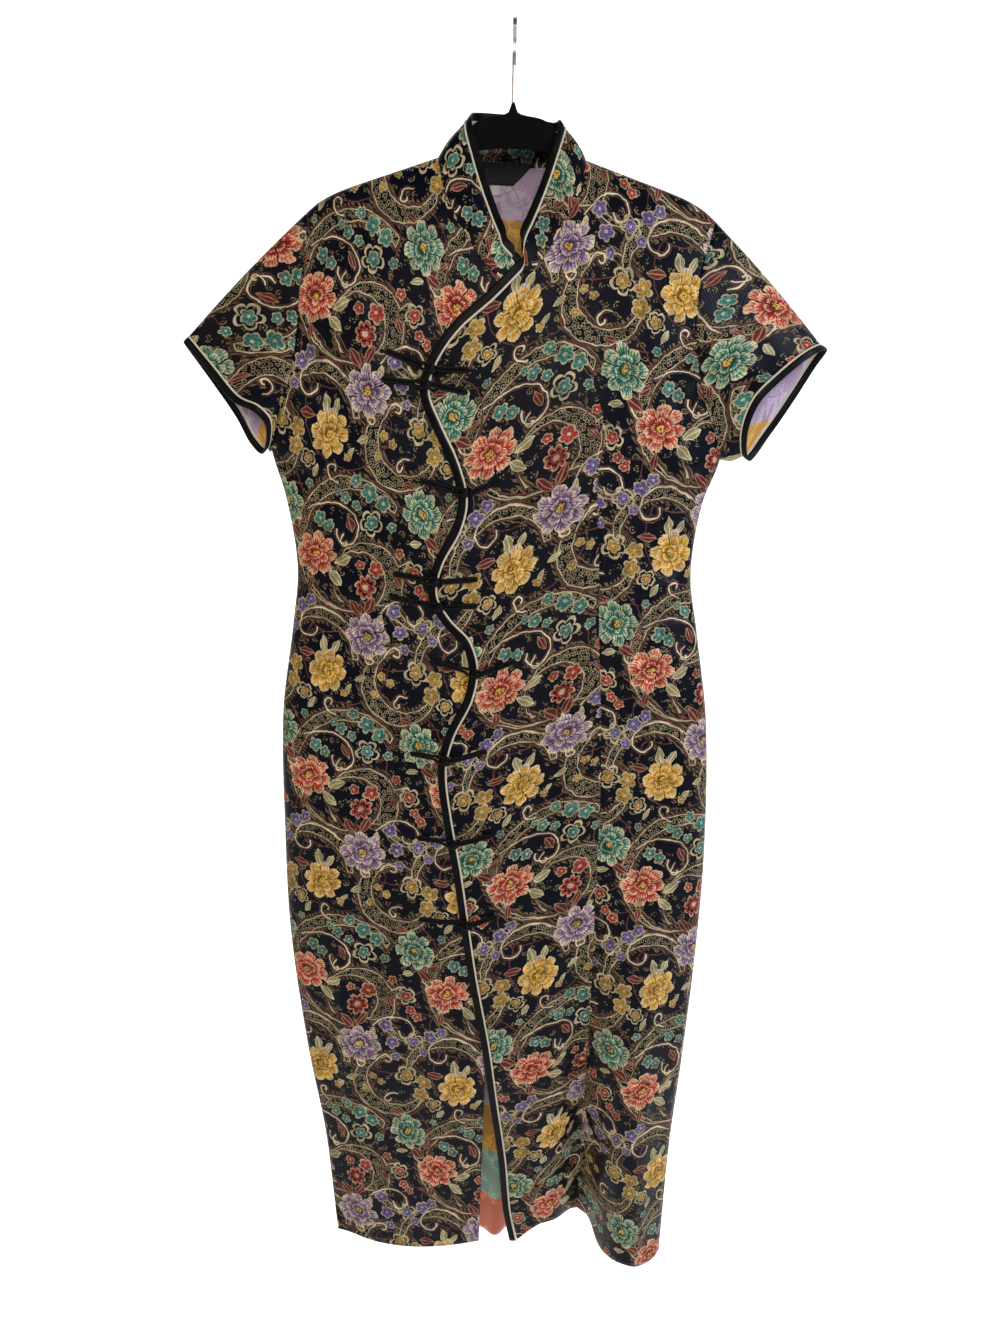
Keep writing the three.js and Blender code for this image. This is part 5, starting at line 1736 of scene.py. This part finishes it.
@dataclass
class Frogs:
    """Nine fastenings of doubled satin cord, each a loop, a ball knot and the knot's tail."""

    places: tuple = ((-303, -112, -288, -38, -303), (-317, -116, -313, -40, -323), (-417, -80, -407,
        -8, -406), (-506, -107, -500, -28, -503), (-532, -111, -524, -28, -530), (-600, -70, -590,
        12, -587), (-695, -91, -690, -16, -684), (-790, -84, -786, -10, -780), (-888, -82, -884, -2,
        -878))
    cord: float = 1.45           # half the cord's thickness
    apart: float = 1.55          # each of the two cords from their middle
    eye: float = 3.3             # the loop's end round the knot's neck
    ball: float = 4.8
    rise: float = 7.0
    inset: float = 7.2           # a knot's middle from the binding's outer edge
    stand: float = 0.82          # the share of its radius that a knot stands off the binding
    clear: float = 0.1           # between a cord and what it lies on
    gap: float = 0.6             # between a knot and the end of its tail
    step: float = 1.6            # between two points along a cord
    fewest: int = 10             # points along the shortest cord
    opening: float = 3.2         # where a loop starts to open, in radii of the ball

    def racetrack(self, start: tuple, end: tuple, lift: Callable,
            eye: float) -> tuple[Array, Array]:
        """A closed cord laid there and back between two places on the front.

        Args:
            start: x and z of the sewn end.
            end: x and z of the other end.
            lift: How far it stands off the front at a place's x.
            eye: Half its opening at the end; apart gives none.

        Returns:
            The path's points and the front's normals there.
        """
        a, b = np.array(start, float), np.array(end, float)
        way = unit(b - a)
        side = np.array([-way[1], way[0]])
        long = np.linalg.norm(b - a)
        s = np.linspace(0, long, max(self.fewest, round(long / self.step)))
        wide = self.apart + (eye - self.apart) * smoothstep(s, long - self.opening * self.ball,
            long - self.ball)
        there = a + way * s[:, None] + side * wide[:, None]
        back = a + way * s[:, None] - side * wide[:, None]
        turn = np.linspace(0, pi, 9)[1:-1]
        far = b + way * (eye * np.sin(turn))[:, None] + side * (eye * np.cos(turn))[:, None]
        near = (a - way * (self.apart * np.sin(turn))[:, None]
            - side * (self.apart * np.cos(turn))[:, None])
        flat = join([there, far, back[::-1], near])
        x, z = flat[:, 0], flat[:, 1]
        path = np.stack([x, FORM.front_y(x, z) - lift(x), z], -1)
        return path, FORM.normal(FORM.front_y, -1, x, z)

    def tube(self, name: str, path: Array, normals: Array, finish: Material) -> Piece:
        """A round cord along a closed path."""
        tangent = unit(np.roll(path, -1, 0) - np.roll(path, 1, 0))
        across = unit(np.cross(tangent, normals))
        profile = rounded(2 * self.cord, 2 * self.cord, 8, 2.0)
        return sweep(name, path, across, np.cross(across, tangent), profile, [finish], closed=True)

    def knot(self, name: str, middle: Array, finish: Material) -> Piece:
        """A ball knot: one cord plaited round and round a ball, and back into itself."""
        t = np.linspace(0, 2 * pi, 150, endpoint=False)
        up, about = 1.12 * np.sin(5 * t), 3 * t
        out = np.stack([np.sin(up), np.cos(up) * np.cos(about), np.cos(up) * np.sin(about)], -1)
        reach = self.ball - self.cord + 0.28 * np.cos(10 * t + 0.6)
        path = middle + out * reach[:, None]
        return self.tube(name, path, out, finish)

    def core(self, knot: Piece, middle: Array, finish: Material) -> Piece:
        """The cord inside a ball knot, so that no light shows between its turns."""
        bpy.ops.mesh.primitive_ico_sphere_add(subdivisions=3, radius=(self.ball - self.cord) * MM,
            location=tuple(middle * MM))
        core = bpy.context.object
        bpy.ops.object.transform_apply(location=True, rotation=True, scale=True)
        core.name = knot.name + "_core"
        core.data.uv_layers[0].name = "cloth"
        core.data.materials.append(finish)
        bpy.ops.object.shade_smooth()
        return core

    def build(self, cord: Material) -> None:
        """Makes every frog."""
        for number, place in enumerate((FrogPlace(*row) for row in self.places), start=1):
            edge = float(FORM.overlap_x(place.z))
            outer = edge - SEAM - PIPING - SEAM - BINDING
            knot_x = outer + self.inset
            low, high = (off + self.cord + self.clear for off in (WALL / 2, LAP + BINDING_WALL / 2))
            on_cloth = LAP + PIPING / 2 + self.cord + self.clear / 2

            def loop_lift(x: Array) -> Array:
                """The loop climbs from the underlap on to the binding."""
                return lerp(low, high, smoothstep(x, outer - self.rise, outer - 0.5))

            name = f"frog_{number}"
            path, normals = self.racetrack((place.loop_x, place.loop_z), (knot_x, place.z),
                loop_lift, self.eye)
            finish_piece(self.tube(f"{name}_loop_cord", path, normals, cord), "satin",
                f"{name}_loop")
            cloth = float(FORM.front_y(knot_x, place.z))
            y = cloth - LAP - BINDING_WALL / 2 - self.cord - self.ball * self.stand
            middle = np.array([knot_x, y, place.z])
            knot = self.knot(f"{name}_knot_ball", middle, cord)
            finish_piece(self.core(knot, middle, cord), "satin")
            finish_piece(knot, "satin", f"{name}_knot")
            start = (knot_x + self.ball + self.gap + self.apart, place.z)
            path, normals = self.racetrack((place.knot_x, place.knot_z), start,
                lambda x: np.full(np.shape(x), on_cloth), self.apart)
            finish_piece(self.tube(f"{name}_tail_cord", path, normals, cord), "satin",
                f"{name}_tail")


# ---- labels


@dataclass
class NeckLabel:
    """A blank woven label that hangs inside the back of the neck."""

    name: str
    left: float
    right: float
    top: float
    height: float
    wall: float
    taper: tuple = (0, 0)
    gap: float = 1.1

    def build(self, finish: Material, slot: str) -> None:
        """Makes the label and passes its sheet's size to hang_sheet, which does nothing with it."""
        down = np.linspace(0, 1, max(4, round(self.height / 1.6)))[:, None]
        across = np.linspace(0, 1, max(5, round((self.right - self.left) / 2)))[None]
        x = lerp(self.left + self.taper[0] * down, self.right - self.taper[1] * down, across)
        z = self.top - self.height * down + 0 * across
        curl = 0.5 * np.sin(pi * across) * down
        n = FORM.normal(FORM.back_y, 1, x, z)
        inward = WALL / 2 + self.gap + self.wall / 2 + curl
        points = np.stack([x, FORM.back_y(x, z), z], -1) - n * inward[..., None]
        flat = np.stack([x - self.left, z - self.top], -1)
        patch = Patch(points, n, corners(flat))
        wall = cloth_wall(self.name + "_cloth", patch, self.wall, [finish, finish])
        finish_piece(wall, slot, self.name)
        width, length, area = patch.size
        width, length = max(width, SMALLEST), max(length, SMALLEST)
        hang_sheet(wall, (width, length, max(area, 0.32 * width * length)))


# ---- the hanger


@dataclass
class Hanger:
    """A slim flocked hanger: a body with a peg and two arms, and a wire hook."""

    thick: float = 6
    bevel: float = 2.2
    drop: float = 1.4
    tip_drop: float = 1.4
    peg_top: float = -67
    wire: float = 1.7
    hook: float = 19
    yoke: tuple = ((1.4, -67), (3, -72), (5, -75.5), (12, -77.5), (24, -79.5), (32, -82.5),
        (38.5, -88), (43.5, -96), (50, -106), (62, -118))
    under: tuple = ((198, -174), (203, -181), (205, -189), (203, -197), (196, -199), (184, -188),
        (160, -170), (114, -152), (72, -136), (36, -109), (14, -105))

    def outline(self) -> Array:
        """Half the body's outline from the peg to the middle of its underside."""
        arm_x = np.arange(78, 191, 7.0)
        arm_z = FORM.ridge_line(arm_x) - self.drop - self.tip_drop * smoothstep(arm_x, 130, 175)
        rough = join([np.array(self.yoke), np.stack([arm_x, arm_z], 1), np.array(self.under)])
        run = arc_length(rough)
        fine = np.linspace(0, run[-1], 170)
        smooth = np.stack([Curve(run, rough[:, k])(fine) for k in (0, 1)], 1)
        ridge = FORM.ridge_line(smooth[:, 0]) - self.drop
        under = (smooth[:, 0] > 70) & (smooth[:, 0] < 190)
        smooth[:, 1] = np.where(under, np.minimum(smooth[:, 1], ridge), smooth[:, 1])
        return smooth

    def body(self, finish: Material) -> Piece:
        """Makes the body: its outline filled, extruded to its thickness and rounded."""
        half = self.outline()
        outline = join([half, (half * (-1, 1))[::-1]])
        bpy.ops.mesh.primitive_circle_add(vertices=len(outline), radius=1, fill_type="NOTHING")
        body = bpy.context.object
        body.name = "hanger_velvet_body"
        y = self.thick / 2
        rim = np.stack([outline[:, 0], np.full(len(outline), y), outline[:, 1]], 1)
        body.data.vertices.foreach_set("co", (rim * MM).ravel())
        with editing():
            bpy.ops.mesh.edge_face_add()
            extrude(0, -self.thick, 0)
        rounding = body.modifiers.new("rounding", "BEVEL")
        rounding.width, rounding.segments, rounding.limit_method = self.bevel * MM, 4, "ANGLE"
        rounding.angle_limit = radians(50)
        bpy.ops.object.modifier_apply(modifier=rounding.name)
        bpy.ops.object.shade_smooth_by_angle(angle=radians(35))
        body.data.materials.append(finish)
        return finish_piece(body, "velvet", "hanger_body")

    def wire_hook(self, finish: Material) -> Piece:
        """Makes the hook: a round wire run straight up and then spun round the rod, edge on."""
        crown = self.wire - self.hook
        foot, stem = self.peg_top + SEAM, crown - self.hook
        bpy.ops.mesh.primitive_circle_add(vertices=16, radius=self.wire * MM, fill_type="NGON",
            location=(0, 0, foot * MM))
        hook = bpy.context.object
        hook.name = "hanger_wire_hook"
        bpy.ops.object.transform_apply(location=True, rotation=True, scale=True)
        tip = radians(150)
        with editing():
            extrude(0, 0, stem - foot)
            bpy.ops.mesh.spin(steps=44, angle=radians(-240), center=(0, 0, crown * MM),
                axis=(1, 0, 0))
            for size, push in ((0.8, 0.7), (0.55, 0.5)):
                extrude(0, push * self.wire * sin(tip), push * self.wire * cos(tip))
                bpy.ops.transform.resize(value=(size, size, size))
            bpy.ops.mesh.select_all(action="SELECT")
            bpy.ops.mesh.remove_doubles(threshold=0.00001)
        bpy.ops.object.shade_smooth_by_angle(angle=radians(50))
        hook.data.materials.append(finish)
        return finish_piece(hook, "steel_wire", "hanger_hook")

    def build(self, finishes: Finishes) -> None:
        """Makes the body and the hook."""
        self.body(finishes.velvet)
        self.wire_hook(finishes.steel)


# ---- the studio


@dataclass
class Studio:
    """A white curved backdrop, soft light and the camera."""

    floor: float = -1.9
    wall: float = 2.6
    bend: float = 1.2
    camera: tuple = (-0.0014, -1.021, -0.318)
    pitch: float = 74.4
    roll: float = 1.2
    lens: float = 27
    aim: tuple = (0, 0, -0.65)
    # Each lamp's name, place, size, power and colour.
    lamps: tuple = (("key_softbox", (2.3, -1.5, 0.9), 1.0, 44, "#dfe8ff"),
        ("fill_softbox", (-2.2, -1.6, 0.7), 1.0, 8, "#ffdfbc"),
        ("front_softbox", (0.1, -2.3, 0.35), 0.8, 18, "#fff6ea"),
        ("rim_softbox", (0, 1.9, 0.9), 1.6, 8, "#ffffff"))

    def backdrop(self, finish: Material) -> None:
        """A floor that curves up into a wall behind."""
        turn = np.linspace(0, pi / 2, 17)
        y = join([[-3.2, -1.5, 0], self.wall - self.bend * (1 - np.sin(turn)), [self.wall]])
        z = join([[0, 0, 0], self.bend * (1 - np.cos(turn)), [5.2]]) + self.floor
        x = np.linspace(-5, 5, 11)
        grid = np.stack(np.broadcast_arrays(x[None], y[:, None], z[:, None]), -1)
        faces = corners(np.arange(grid[..., 0].size).reshape(grid.shape[:2])).reshape(-1, 4)
        backdrop = new_object("studio_backdrop", grid.reshape(-1, 3) / MM, faces.tolist(), [finish])
        backdrop.data.flip_normals()        # it is seen from inside

    def lamp(self, name: str, place: tuple, size: float, power: float, colour: str) -> None:
        """A soft square lamp aimed at the middle of the dress."""
        light = bpy.data.lights.new(name, "AREA")
        light.size, light.energy, light.color = size, power, linear(colour)[:3]
        lamp = in_scene(name, light)
        lamp.location = place
        lamp.rotation_euler = (Vector(place) - Vector(self.aim)).to_track_quat("Z", "Y").to_euler()

    def build(self, finishes: Finishes) -> None:
        """Makes the camera, the backdrop and the lights."""
        camera = in_scene("studio_camera", bpy.data.cameras.new("studio_camera"))
        camera.data.lens, camera.data.sensor_width, camera.data.sensor_fit = self.lens, 36, "AUTO"
        camera.data.clip_start = 0.05
        tilt = Matrix.Rotation(radians(self.pitch), 4, "X")
        turn = Matrix.Rotation(radians(self.roll), 4, "Z")
        camera.matrix_world = Matrix.Translation(self.camera) @ tilt @ turn
        bpy.context.scene.camera = camera
        self.backdrop(finishes.paper)
        for row in self.lamps:
            self.lamp(*row)
        world = bpy.context.scene.world or bpy.data.worlds.new("studio_world")
        bpy.context.scene.world = world
        world.use_nodes = True
        world.node_tree.nodes.clear()
        node = Graph(world.node_tree)
        node("OutputWorld", (node("Background", ((1, 1, 1, 1), 0.1)),))
        bpy.context.scene.view_settings.view_transform = "Standard"
        LOG.info("studio: camera, backdrop and four soft lamps")


def main() -> None:
    """Builds the studio and every piece of the dress, in order."""
    logging.basicConfig(level=logging.INFO, format="%(name)s %(message)s")
    finishes = Finishes()
    Studio().build(finishes)
    panels = BodyPanels()
    panels.build(finishes)
    collar = Collar()
    panels.declare(OverlapEdge(collar).build(finishes))
    collar.build(finishes)
    Sleeves().build(finishes, panels.armholes)
    Frogs().build(finishes.cord)
    NeckLabel("neck_label", -35, 22, -110, 20, 0.8, taper=(12, 20)).build(finishes.label, "label")
    NeckLabel("size_tag", -20.5, -10.3, -130.5, 10, 0.6).build(finishes.tag, "size_tag")
    Hanger().build(finishes)


if __name__ == "__main__":
    main()
